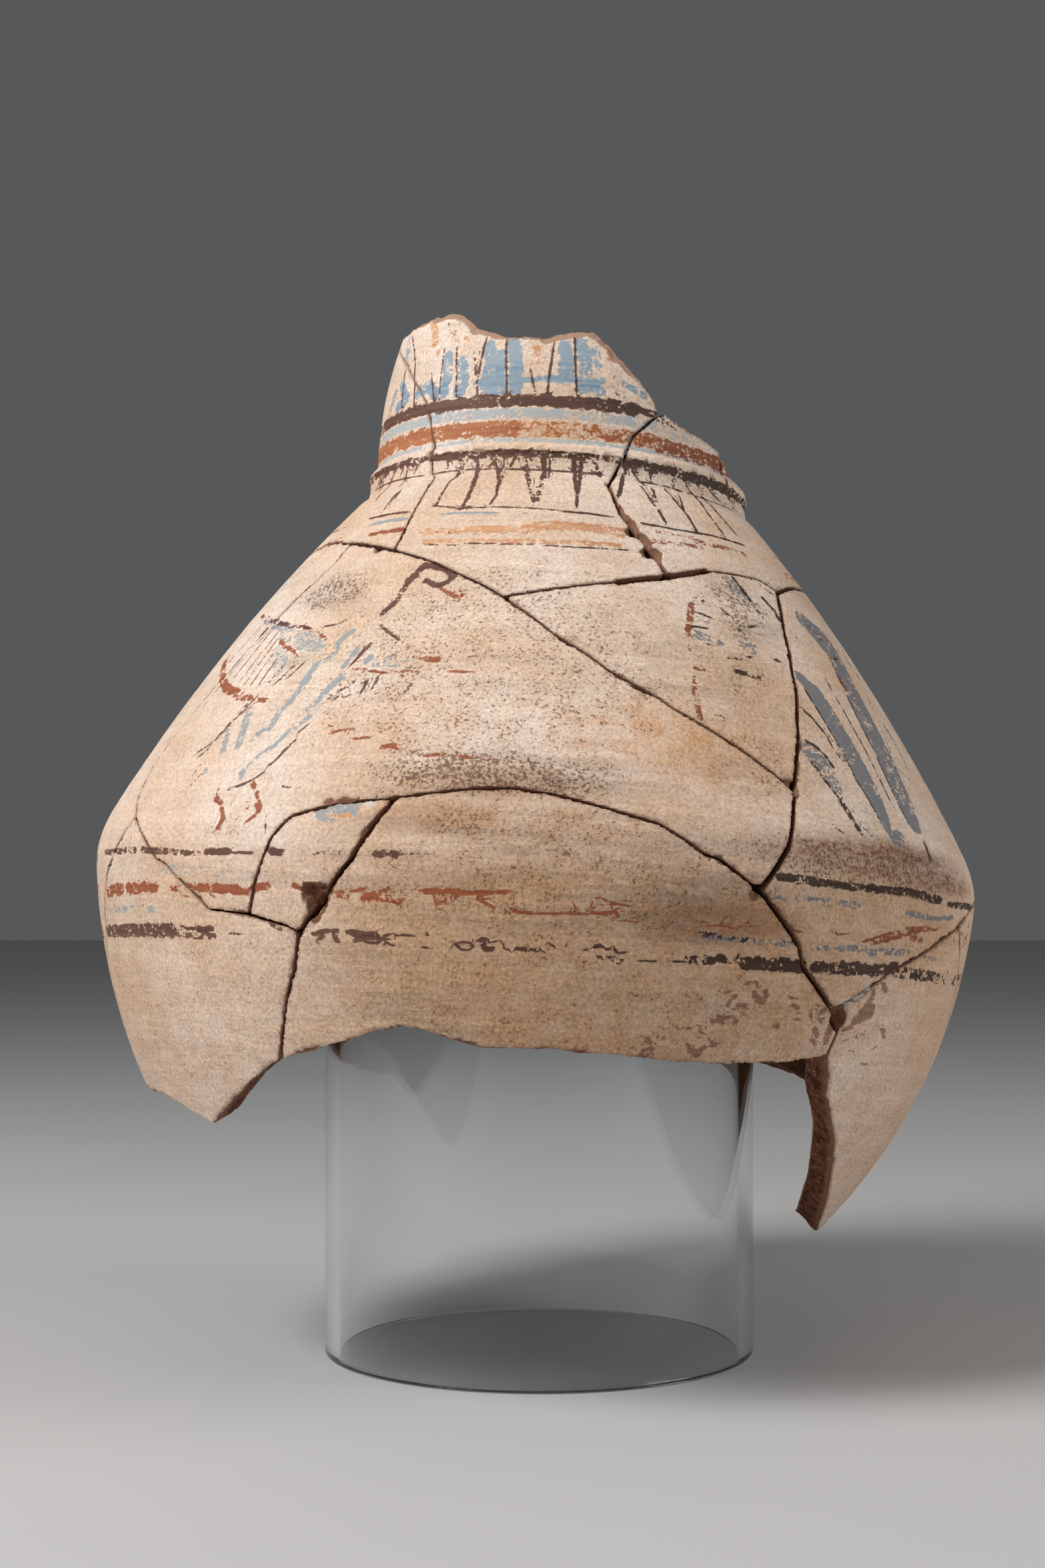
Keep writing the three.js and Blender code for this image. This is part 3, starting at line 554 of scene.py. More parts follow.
BELLY_BANDS_DARK = (
    (2.5, 0.8, ((28, 161.7), (30.9, 161.7), (35.8, 161.3), (41.2, 161.2), (47.5, 161.5))),
    (2.8, 0.82, ((47.5, 161.5), (52.9, 161.1), (57.5, 160.7))),
    (2.1, 0.8, ((60.1, 159.9), (72.8, 161))),
    (2.8, 0.62, ((18.4, 135.9), (21.4, 136.4))),
    (0.6, 0.75, ((12.3, 134.8), (18.2, 135.4))),
    (1.9, 0.85, ((21.4, 137.8), (22.4, 136.6))),
    (0.6, 0.7, ((22.1, 135.6), (24, 136.4))),
    (2.5, 0.82, ((24.1, 137.6), (24.9, 135.4))),
    (4.2, 0.86, ((25.2, 136), (28.6, 136.4), (33, 136))),
    (4, 0.84, ((34.7, 136.7), (38.5, 136.8), (45.7, 137))),
    (3.4, 0.86, ((46, 137.1), (49.2, 138.5))),
    (3.4, 0.66, ((49.6, 136.7), (54.2, 136.8), (61.7, 136.4))),
    (1.5, 0.5, ((19.2, 143.6), (21.2, 143.5), (25, 142.8))),
    (1.9, 0.45, ((25.6, 142.9), (28.5, 143.2), (30.9, 142.8))),
    (0.8, 0.85, ((-8.6, 136.7), (-8, 135.3), (-7.1, 135), (-6.3, 136.3), (-6.9, 137.3), (-7.8, 137.4),
        (-8.6, 136.7))),
    (0.8, 0.85, ((-6.1, 137.8), (-5.6, 138.7), (-4.9, 138.4))),
    (1.7, 0.9, ((-5.5, 137.5), (-5.1, 135.7), (-4.4, 135.8))),
    (0.6, 0.7, ((-4.4, 137.7), (-3.7, 138.2))),
    (0.8, 0.8, ((-3.2, 137.5), (-3, 136), (-2.5, 135.7))),
    (1.3, 0.85, ((-1.7, 136.2), (-0.9, 136.1), (0.3, 136.1))),
    (0.6, 0.8, ((1, 136.6), (1.2, 136))),
    (0.8, 0.85, ((2, 138.2), (2.4, 137.5))),
    (0.6, 0.6, ((3.7, 137.3), (3.8, 138.1))),
    (1.3, 0.9, ((7, 138), (7.5, 138.5), (8.4, 137.7))),
    (0.8, 0.85, ((9.2, 137.8), (9.5, 136.7), (10.5, 137))),
    (1.1, 0.85, ((-18, 137.9), (-17.5, 137.2), (-16.5, 136.1), (-15.8, 135.5))),
    (1.1, 0.85, ((-16.9, 137.8), (-16, 138.5), (-15.4, 138.4))),
    (0.8, 0.85, ((-14.7, 138.5), (-13.4, 138.4))),
    (1.1, 0.45, ((-11.8, 139), (-10.6, 138.8), (-9.6, 137.7), (-9.6, 135.8))),
    (0.6, 0.45, ((-13.3, 135), (-11.7, 135.2))),
    (2.1, 0.35, ((6.1, 134.3), (9.9, 134.5))),
    (3.8, 0.74, ((-70.7, 136.9), (-61.8, 137.1))),
    (4.2, 0.86, ((-61.8, 137.1), (-48.2, 137.3))),
    (0.8, 0.85, ((-47.7, 135.7), (-46.3, 135.5))),
    (1.1, 0.85, ((-46.2, 138.5), (-45.1, 137.8), (-43.8, 138))),
    (1.3, 0.88, ((-45.5, 135.5), (-44.5, 135.8))),
    (2.1, 0.95, ((-43.1, 137.9), (-40.5, 138))),
    (1.9, 0.95, ((-42.4, 136.5), (-40.1, 136))),
    (0.5, 0.7, ((-44, 135), (-40.1, 135.2))),
    (0.8, 0.88, ((-37.5, 136.8), (-36.1, 136.7))),
    (1.3, 0.55, ((-31.3, 139.7), (-30.1, 138.6))),
    (0.8, 0.75, ((-27.7, 138.9), (-26.8, 138.5))),
    (1.7, 0.92, ((-25.6, 137.5), (-24.6, 138.4), (-22.5, 138.6))),
    (1.7, 0.92, ((-25, 135.6), (-24.3, 137.2))),
    (1.7, 0.92, ((-22.9, 137.7), (-22.4, 135.5))),
    (1.7, 0.92, ((-21.2, 138.7), (-19.6, 138.1), (-18, 138.3))),
    (1.7, 0.92, ((-20.4, 136.1), (-19.2, 137), (-18, 137.9))),
    (1.1, 0.8, ((-18.8, 135.9), (-16.8, 135.5))),
    (1.3, 0.88, ((-17.6, 137.9), (-16.8, 136.5))),
    (2.1, 0.8, ((-69.1, 162.7), (-56.4, 162.2))),
    (2.1, 0.82, ((-54.5, 162), (-48.5, 161.3))),
    (1.7, 0.65, ((-48.5, 161.3), (-42.3, 160.5))),
    (2.1, 0.95, ((-41, 161.1), (-37.3, 161.1))),
    (1.1, 0.85, ((-36.9, 160.7), (-33.7, 160.8))),
    (2.5, 0.85, ((-31.4, 161.6), (-29.6, 160.9))),
    (1.1, 0.6, ((-25, 160.9), (-21.9, 161.3))),
    (2.1, 0.88, ((-17.9, 161.4), (-16.2, 161.6), (-15.5, 161.1))),
    (0.5, 0.6, ((-15.1, 161.5), (-12.2, 162))),
    (3, 0.62, ((-98, 161.4), (-76, 161.4))),
    (3, 0.45, ((73, 161), (262, 161.4))),
    (4.6, 0.62, ((-98, 137), (-76, 137))),
    (4.4, 0.42, ((64, 137), (262, 137))),
)
BELLY_BANDS_RED = (
    (3.8, 0.76, ((-67.7, 149.7), (-61, 150.2))),
    (3.8, 0.82, ((-59.1, 150.3), (-51.3, 150.3))),
    (1.7, 0.65, ((-47.9, 149.8), (-45.8, 149.8))),
    (0.6, 0.7, ((-45.7, 147.8), (-44.6, 147.6))),
    (1.3, 0.75, ((-44.3, 151), (-42.8, 149.9))),
    (3, 0.86, ((-42.3, 150.1), (-39.4, 150.1))),
    (0.8, 0.85, ((-40.4, 148.3), (-40.1, 147.9))),
    (3.2, 0.95, ((-38.9, 149.9), (-35.9, 150))),
    (1.7, 0.88, ((-35.9, 148.8), (-34.7, 148.9))),
    (1.3, 0.85, ((-34.7, 149.3), (-34.1, 150.5))),
    (2.5, 0.92, ((-33.3, 150.1), (-32.4, 150.8), (-31.6, 151.2))),
    (1.7, 0.88, ((-27.9, 151.6), (-27.2, 151.1))),
    (1.1, 0.85, ((-26.9, 150.5), (-25.8, 151.9), (-25.3, 152.4))),
    (0.8, 0.75, ((-23, 150.8), (-21.6, 150.5))),
    (1.7, 0.88, ((-22.4, 149.3), (-21.2, 148.5))),
    (1.1, 0.85, ((-21, 150.6), (-19.9, 150.5), (-18.8, 151.6))),
    (3, 0.92, ((-18.9, 148.7), (-17.8, 149.5))),
    (1.7, 0.92, ((-17.8, 149.7), (-16.8, 150.6), (-16.3, 151.8))),
    (1.5, 0.9, ((-17.8, 148.4), (-16, 148.4), (-15.2, 147.3))),
    (0.8, 0.75, ((-16.2, 148), (-14.6, 148.5))),
    (0.6, 0.55, ((-14, 151.3), (-13, 151.6))),
    (1.7, 0.85, ((-12.8, 151), (-11.5, 151.2), (-8.1, 151.8))),
    (0.8, 0.8, ((-11.1, 150.5), (-10.9, 149), (-10.8, 147.5))),
    (0.6, 0.7, ((-10.7, 148.6), (-9.6, 148.2), (-9.7, 149.7))),
    (1.5, 0.85, ((-8.6, 150), (-8.1, 151.4), (-5.9, 151.5), (-3.2, 152.2))),
    (0.8, 0.85, ((-6.1, 150.7), (-6.2, 149.6), (-5.5, 148.9), (-4.9, 148.2), (-4.3, 147.5))),
    (0.5, 0.6, ((-3.1, 152.6), (-1.9, 152.2))),
    (1, 0.85, ((-2.4, 147.4), (-1.8, 146.6), (-0.1, 146.6), (2.8, 146.9), (5.7, 147.3))),
    (0.6, 0.8, ((4.3, 149.6), (4.7, 148.5), (4.4, 147.7))),
    (1.5, 0.88, ((6.5, 147.6), (7.6, 147.6), (8.5, 148.1), (8.5, 149.1))),
    (0.6, 0.7, ((6, 149.1), (6.3, 149.9))),
    (0.7, 0.78, ((6.5, 151.6), (7.1, 152.3), (7.8, 151.4))),
    (0.7, 0.85, ((8.4, 151), (9.3, 150.5), (10.4, 150.3))),
    (1.1, 0.85, ((8.9, 148.8), (9.3, 147.3))),
    (0.6, 0.78, ((10.9, 148.5), (11.7, 147.7))),
    (0.6, 0.6, ((9.1, 145.6), (10.2, 146.1), (11.4, 145.7))),
    (0.5, 0.5, ((11.9, 150.4), (13.4, 150.3))),
    (0.6, 0.7, ((15, 150.7), (15.3, 151.2))),
    (0.5, 0.6, ((16.7, 152), (17.4, 152.7))),
    (0.6, 0.8, ((19.5, 145.9), (21.1, 146.4), (22.7, 146.3), (25.2, 146.9))),
    (0.6, 0.78, ((21.3, 147.4), (21.7, 149), (22.4, 148.8))),
    (0.5, 0.7, ((24.3, 147.2), (24.7, 148.8))),
    (0.6, 0.7, ((22.3, 145.9), (24, 145.8))),
    (0.5, 0.5, ((17.8, 147), (19.4, 147.1))),
    (0.6, 0.7, ((23.9, 152.1), (24.8, 152.7))),
    (1, 0.95, ((42.2, 145.3), (45.7, 147.9), (48.5, 149.3))),
    (1, 0.95, ((43.8, 144.7), (47.8, 147.6), (51.5, 150))),
    (1, 0.95, ((46, 145.7), (49.9, 148.3), (53.6, 150.8))),
    (0.8, 0.8, ((49.9, 150.6), (53.5, 151.6), (56.3, 151.6))),
    (0.7, 0.8, ((52.1, 149.3), (55.4, 150.7), (57.9, 151.5))),
    (1.7, 0.88, ((51.5, 147.6), (54.1, 147.3))),
    (0.8, 0.6, ((36.4, 147.3), (37.1, 147.2))),
    (0.6, 0.7, ((37.4, 146.5), (39.1, 147.2))),
    (0.8, 0.6, ((30.5, 147.3), (31.6, 146.5))),
    (5, 0.55, ((-98, 150.6), (-76, 150.6))),
    (5, 0.42, ((60, 150), (262, 150.6))),
)
BELLY_BANDS_BLUE = (
    (2.1, 0.5, ((-68.9, 143.8), (-52.1, 143.7))),
    (0.8, 0.85, ((27.6, 155.7), (28.3, 156.1), (29, 155.4))),
    (0.8, 0.8, ((30.5, 156.3), (30.8, 155.4))),
    (1.3, 0.85, ((32.4, 156.1), (33.5, 156.3))),
    (2.3, 0.5, ((34.7, 155.5), (40.2, 156))),
    (1.7, 0.9, ((49.5, 155.3), (53.2, 154.9), (57, 154.7), (62.6, 155.9))),
    (1.9, 0.6, ((33.8, 142.1), (38, 142.4), (42.5, 143.1))),
    (2.1, 0.64, ((43.2, 142), (47.7, 143), (51.4, 143.4))),
    (1.5, 0.6, ((55.5, 142.3), (59.1, 141.9))),
    (1.9, 0.6, ((19.2, 143.2), (21.2, 143.2), (25, 142.6), (30.9, 142.6))),
    (3, 0.4, ((-52, 155.6), (-38, 155.2))),
    (2.6, 0.35, ((66, 155), (284, 155.4))),
)
SLIP_SPOTS = (
    (0.8, 0.7, ((11.8, 125.2), (12.1, 125))),
    (1.3, 0.6, ((17.7, 116.3), (17.8, 116.1))),
    (1.3, 0.7, ((18.7, 116.2), (19.2, 116.3))),
    (1.3, 0.95, ((20.8, 115.5), (20.9, 115.3))),
    (0.8, 0.8, ((20.3, 117), (20.5, 117))),
    (1.7, 0.75, ((15.5, 112.7), (16.1, 113))),
    (1.7, 0.7, ((14.2, 112.3), (14.6, 111.8))),
    (2.1, 0.7, ((14.1, 108.4), (15, 109.3), (15.3, 110.7))),
    (1.7, 0.65, ((13.7, 107.4), (15.3, 107.8))),
    (1.7, 0.9, ((19.9, 109.5), (21.2, 109.8), (21.7, 110.9))),
    (1.3, 0.85, ((20.9, 108.4), (21.3, 108.9))),
    (1.3, 0.75, ((19.6, 111), (19.9, 110.1))),
    (1.5, 0.8, ((22.2, 112.9), (22.5, 111.8), (23, 112))),
    (2.3, 0.8, ((22.2, 118.8), (22.6, 119.9), (23.4, 118.4))),
    (1.3, 0.75, ((23.7, 119.8), (24.2, 119.9))),
    (1.9, 0.75, ((24.7, 118.9), (25.2, 118.6))),
    (0.8, 0.6, ((24.7, 120.7), (25.5, 121.6))),
    (1.1, 0.85, ((26.1, 121.1), (26.4, 121.1))),
    (1.5, 0.85, ((22.7, 127.5), (23.2, 127.4))),
    (1.7, 0.85, ((23.7, 123.7), (23.9, 125.3), (24.4, 126.2))),
    (1.9, 0.88, ((25, 123.9), (25.9, 123.8))),
    (1.3, 0.9, ((25.6, 130.2), (26.7, 130.8), (27, 130.1))),
    (2.1, 0.92, ((26.8, 127.3), (27.2, 126.1), (28.1, 125.3))),
    (1.9, 0.95, ((28.3, 128.3), (28.6, 127.1))),
    (1.7, 0.88, ((30.7, 118.6), (31.1, 118.3))),
    (1.3, 0.85, ((32.1, 127), (32.4, 126.8))),
    (1.7, 0.85, ((32.5, 124.8), (33.4, 124))),
    (1.1, 0.95, ((33.6, 120.6), (33.8, 120.6))),
    (1.5, 0.8, ((35.7, 122.4), (36, 120.8))),
    (1.1, 0.95, ((36.2, 125.3), (36.6, 125.1))),
    (1.9, 0.85, ((37.2, 122.8), (37.9, 123.9))),
    (1.3, 0.85, ((37.2, 121), (37.7, 120.4))),
    (2.1, 0.9, ((36.9, 118.1), (37.7, 116))),
    (3, 0.9, ((39.4, 114.7), (39.5, 118.6))),
    (1.3, 0.7, ((37, 114.5), (37.6, 113.7))),
    (3, 0.92, ((43.5, 121.2), (44.9, 122.2), (46.3, 123.5))),
    (2.1, 0.9, ((44.8, 125.6), (45.7, 128), (45.9, 130.1))),
    (3, 0.92, ((44.4, 123.7), (46.4, 125.6))),
    (2.1, 0.85, ((47.4, 132.7), (48.2, 131.2))),
    (1.7, 0.65, ((42, 118.2), (43.3, 119.5))),
    (1.7, 0.7, ((44.9, 116.4), (46.3, 117.7))),
    (1.3, 0.7, ((42.1, 115.7), (43, 115.4))),
    (2.1, 0.75, ((49.9, 119), (51, 116.8))),
    (1.7, 0.6, ((48.4, 120.4), (49.7, 119.7))),
    (0.8, 0.75, ((44.4, 112), (45, 111.8))),
    (0.8, 0.6, ((49, 112.7), (49.5, 113.4))),
    (0.8, 0.75, ((48.1, 108.2), (48.9, 108))),
    (2.4, 0.8, ((112, 118), (114, 120))),
    (1.8, 0.8, ((118, 112), (119, 113))),
    (2.6, 0.75, ((150, 132), (152, 130))),
    (2, 0.8, ((158, 124), (159, 126))),
    (2.4, 0.8, ((-128, 116), (-126, 118))),
    (1.6, 0.8, ((-134, 124), (-133, 124))),
)
LOWER_BORDER_DARK = (
    (1.2, 0.5, ((64, 277), (300, 277.6))),
    (1.1, 0.35, ((48, 262), (300, 263.6))),
    (0.9, 0.4, ((58, 293.6), (296, 294))),
)
LOWER_BORDER_RED = (
    (3.4, 0.5, ((63, 269.5), (305, 270.8))),
)
FILLER_DABS = (
    (0.6, 0.62, ((39.5, 124.7), (40.1, 125.7))),
    (0.8, 0.7, ((41.1, 126.7), (42.2, 127.4), (43.2, 128.1))),
    (0.6, 0.66, ((43.5, 129.2), (44, 129.9))),
    (0.6, 0.66, ((44.4, 131.1), (44.9, 131.6))),
    (0.8, 0.6, ((-19.6, 175.4), (-18.2, 177.8))),
)
# Broad tones of the slip: angle from the front, height, half angle, half height and strength
WORN_TAN = (
    (12, 132, 50, 52, 0.84),
    (-48, 122, 45, 52, 0.36),
    (72, 100, 40, 62, 0.42),
    (0, 176, 32, 16, 0.5),
    (27, 195, 13, 18, 0.5),
    (46, 150, 26, 24, 0.75),
    (33, 215, 12, 30, 0.35),
    (-20, 118, 20, 26, 0.45),
    (-100, 120, 40, 40, 0.6),
    (150, 125, 60, 45, 0.7),
)
GREY_GRIME = (
    (-6, 186, 24, 11, 0.4),
    (-12, 172, 14, 7, 0.5),
    (3, 157, 32, 22, 0.6),
    (-12, 120, 10, 14, 0.4),
    (12, 143, 13, 6, 0.7),
    (36, 248, 10, 15, 0.55),
    (-43, 248, 12, 9, 0.25),
    (-42, 228, 7, 10, 0.45),
    (22, 222, 12, 18, 0.3),
    (-33, 155, 10, 6, 0.35),
    (-22, 130, 8, 10, 0.35),
    (140, 200, 20, 20, 0.4),
    (-140, 160, 25, 14, 0.4),
)
ORANGE_WARMTH = (
    (13, 200, 15, 15, 0.65),
    (-2, 172, 22, 7, 0.6),
    (0, 269, 17, 5, 0.4),
    (-6, 155, 11, 7, 0.5),
    (22, 149, 11, 6, 0.8),
    (-30, 158, 9, 5, 0.35),
    (5, 106, 22, 9, 0.35),
    (-18, 205, 14, 12, 0.3),
    (100, 150, 25, 12, 0.5),
    (-160, 210, 25, 20, 0.4),
)

PAINTS = {
    "dark": NECK_PETAL_LINES + PENDANT + FIGURE_DARK + TRIANGLE_DARK + LEAF_DARK + NECK_BANDS_DARK_AND_ROLL_SHADE
    + BELLY_BANDS_DARK + LOWER_BORDER_DARK,
    "red": PENDANT_RED + FIGURE_RED + TRIANGLE_RED + NECK_BANDS_RED + BELLY_BANDS_RED + LOWER_BORDER_RED,
    "ochre": NECK_TIPS + FIGURE_OCHRE + PENDANT_OCHRE + NECK_BANDS_OCHRE,
    "blue": NECK_PETALS + PENDANT_BLUE + FIGURE_BLUE + TRIANGLE_BLUE + LEAF_BLUE + LEAVES + NECK_BANDS_BLUE
    + BELLY_BANDS_BLUE,
    "bared": SLIP_SPOTS,
    "filler": FILLER_DABS,
}


def arc(start, end, bulge, steps):
    """Points of a shallow arc from one profile point to another, raised by its bulge."""
    start, end = np.array(start, float), np.array(end, float)
    along = end - start
    out = np.array((along[1], -along[0])) / np.hypot(*along)
    t = np.linspace(0, 1, steps, endpoint=False)[:, None]
    return start + along * t + out * (4 * bulge * t * (1 - t))


def rounding(start, bend, end, steps):
    """Points of the smooth turn from the body into the shoulder."""
    start, bend, end = (np.array(p, float) for p in (start, bend, end))
    t = np.linspace(0, 1, steps, endpoint=False)[:, None]
    return start * (1 - t) ** 2 + bend * (2 * t * (1 - t)) + end * t ** 2


def neck_roll(steps):
    """Points of the small roll at the foot of the neck, its corners softened."""
    points = np.array((SHOULDER_TOP, *NECK_ROLL, NECK_FOOT), float)
    for _ in range(3):
        quarter = points[:-1] * 0.75 + points[1:] * 0.25
        three = points[:-1] * 0.25 + points[1:] * 0.75
        points = np.concatenate((points[:1], np.stack((quarter, three), 1).reshape(-1, 2), points[-1:]))
    return points[:-1]


PROFILE = np.concatenate((
    arc(LOWEST, BELLY, BODY_BULGE, 170),
    rounding(BELLY, BELLY_ROUNDING, SHOULDER_FOOT, 40),
    arc(SHOULDER_FOOT, SHOULDER_TOP, SHOULDER_BULGE, 150),
    neck_roll(40),
    arc(NECK_FOOT, NECK_TOP, NECK_BULGE, 80),
    np.array([NECK_TOP], float),
))
PROFILE_STEP = np.gradient(PROFILE, axis=0)
PROFILE_OUT = np.stack((PROFILE_STEP[:, 1], -PROFILE_STEP[:, 0]), 1)
PROFILE_OUT /= np.hypot(PROFILE_OUT[:, 0], PROFILE_OUT[:, 1])[:, None]
PROFILE_RISE = np.concatenate(([0], np.cumsum(np.hypot(*np.diff(PROFILE, axis=0).T))))


def jar_axes():
    """The jar's sideways, backward and upright directions, as rows."""
    right, back = math.radians(LEAN_RIGHT), math.radians(LEAN_BACK)
    return np.array((
        (math.cos(right), 0, -math.sin(right)),
        (-math.sin(back) * math.sin(right), math.cos(back), -math.sin(back) * math.cos(right)),
        (math.sin(right) * math.cos(back), math.sin(back), math.cos(right) * math.cos(back)),
    ))


def wall_at(height):
    """Wall thickness at a height on the jar."""
    up = np.clip((height - SHOULDER_FOOT[1]) / (NECK_TOP[1] - SHOULDER_FOOT[1]), 0, 1)
    return np.where(height < SHOULDER_FOOT[1], BODY_WALL, SHOULDER_WALL + (NECK_WALL - SHOULDER_WALL) * up)


def on_profile(radius, height):
    """For each point, the nearest point of the outer profile and the depth below it."""
    nearest = np.empty(len(radius), int)
    for first in range(0, len(radius), 20000):
        r = radius[first:first + 20000, None] - PROFILE[None, :, 0]
        z = height[first:first + 20000, None] - PROFILE[None, :, 1]
        nearest[first:first + 20000] = np.argmin(r * r + z * z, axis=1)
    off = np.stack((radius, height), 1) - PROFILE[nearest]
    step = PROFILE_STEP[nearest] / np.hypot(PROFILE_STEP[nearest, 0], PROFILE_STEP[nearest, 1])[:, None]
    along = np.clip((off * step).sum(1), -1, 1)
    foot = PROFILE[nearest] + step * along[:, None]
    return nearest, foot, -(off * PROFILE_OUT[nearest]).sum(1), PROFILE_RISE[nearest] + along


def lumps(points, size, seed):
    """Smooth unevenness between about -1 and 1, whose lumps are about this many millimetres across."""
    place = points / size
    cell = np.floor(place).astype(np.int64)
    part = place - cell
    part = part * part * (3 - 2 * part)
    total = np.zeros(len(points))
    for corner in np.ndindex(2, 2, 2):
        at = cell + corner
        mixed = at[:, 0] * 73856093 ^ at[:, 1] * 19349663 ^ at[:, 2] * 83492791 ^ seed * 97531
        mixed = (mixed ^ (mixed >> 13)) * 1274126177
        mixed ^= mixed >> 16
        weight = np.prod(np.where(corner, part, 1 - part), axis=1)
        total += weight * ((mixed & 0xFFFF) / 32767.5 - 1)
    return total


def out_of(angle, out):
    """Directions square to the jar's face, from their place round it and their slant in the profile."""
    return np.stack((out[:, 0] * np.sin(angle), -out[:, 0] * np.cos(angle), out[:, 1]), 1)


def brushed(angle, radius, rise, strokes):
    """For each point of the face: place across the nearest stroke, the stroke's half width, and its strength."""
    across = np.full(len(angle), 40.0)
    half = np.zeros(len(angle))
    strength = np.zeros(len(angle))
    nearest = np.full(len(angle), 40.0)
    heights = PROFILE[:, 1]
    for stroke in strokes:
        left = stroke[-2]
        marks = [(math.radians(p[0]), np.interp(p[1], heights, PROFILE_RISE), (p[2] if len(p) > 2 else stroke[0]) / 2)
            for p in stroke[-1]]
        for (a0, s0, h0), (a1, s1, h1) in zip(marks, marks[1:]):
            reach = max(h0, h1) + 2
            turn = np.mod(angle - (a0 + a1) / 2 + math.pi, 2 * math.pi) - math.pi
            near = np.flatnonzero((rise > min(s0, s1) - reach) & (rise < max(s0, s1) + reach)
                & (np.abs(turn) * radius < abs(a1 - a0) / 2 * radius + reach))
            if not len(near):
                continue
            run = np.stack(((a1 - a0) * radius[near], np.full(len(near), s1 - s0)), 1)
            x = (turn[near] + (a1 - a0) / 2) * radius[near]
            y = rise[near] - s0
            t = np.clip((x * run[:, 0] + y * run[:, 1]) / np.maximum((run ** 2).sum(1), 1e-6), 0, 1)
            away = np.hypot(x - t * run[:, 0], y - t * run[:, 1])
            wide = h0 + (h1 - h0) * t
            side = np.where((wide < 0.8) & (x * run[:, 1] < y * run[:, 0]), -1.0, 1.0)
            closer = away - wide < nearest[near]
            near, away, wide, side = near[closer], away[closer], wide[closer], side[closer]
            nearest[near] = away - wide
            across[near] = away * side
            half[near] = wide
            strength[near] = left * np.clip((wide + 1.5 - away) / 0.7, 0, 1)
    return np.stack((across, half, strength), 1)


def dabbed(angle, height, dabs):
    """How strongly each point lies inside soft-edged ovals of the face."""
    total = np.zeros(len(angle))
    for turn, up, half_turn, half_height, strength in dabs:
        across = (np.degrees(angle) - turn + 180) % 360 - 180
        inside = 1 - np.hypot(across / half_turn, (height - up) / half_height)
        total = np.maximum(total, strength * np.clip(inside * 2, 0, 1))
    return total


def select_only(piece):
    """Selects one object and nothing else."""
    bpy.ops.object.select_all(action="DESELECT")
    piece.select_set(True)
    bpy.context.view_layer.objects.active = piece


def vertices_of(piece):
    """A piece's vertices in millimetres."""
    flat = np.empty(len(piece.data.vertices) * 3)
    piece.data.vertices.foreach_get("co", flat)
    return flat.reshape(-1, 3) / MM


def apply_modifier(piece, kind, **settings):
    """Adds a modifier to a piece with these settings and applies it."""
    made = piece.modifiers.new(kind.lower(), kind)
    for name, value in settings.items():
        setattr(made, name, value)
    bpy.ops.object.modifier_apply(modifier=made.name)


def netted_sherd(name, grain):
    """A sherd copied from its solid, closed up and worked over into an even fine net."""
    select_only(frame["nodes"][name])
    bpy.ops.object.duplicate(linked=False)
    sherd = bpy.context.active_object
    sherd.name = name.replace("_sherd", "_potsherd")
    sherd.data.name = sherd.name
    bpy.ops.object.parent_clear(type="CLEAR_KEEP_TRANSFORM")
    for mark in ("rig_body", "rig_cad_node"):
        del sherd[mark]
    sherd.data.materials.clear()
    bpy.ops.object.mode_set(mode="EDIT")
    bpy.ops.mesh.select_all(action="SELECT")
    bpy.ops.mesh.remove_doubles(threshold=0.00001)
    bpy.ops.object.mode_set(mode="OBJECT")
    apply_modifier(sherd, "REMESH", mode="VOXEL", voxel_size=grain * MM)
    return sherd


def nearest_of(points, others):
    """For each point, which of the others is nearest and how far off it is."""
    tree = KDTree(len(others))
    for i, place in enumerate(others):
        tree.insert(place, i)
    tree.balance()
    found = [tree.find(place) for place in points]
    return np.array([f[1] for f in found], int), np.array([f[2] for f in found])


def store(piece, name, values):
    """Keeps three values at each vertex of a piece, for its material to read."""
    layer = piece.data.attributes.new(name, "FLOAT_VECTOR", "POINT")
    layer.data.foreach_set("vector", np.ascontiguousarray(values, np.float32).ravel())


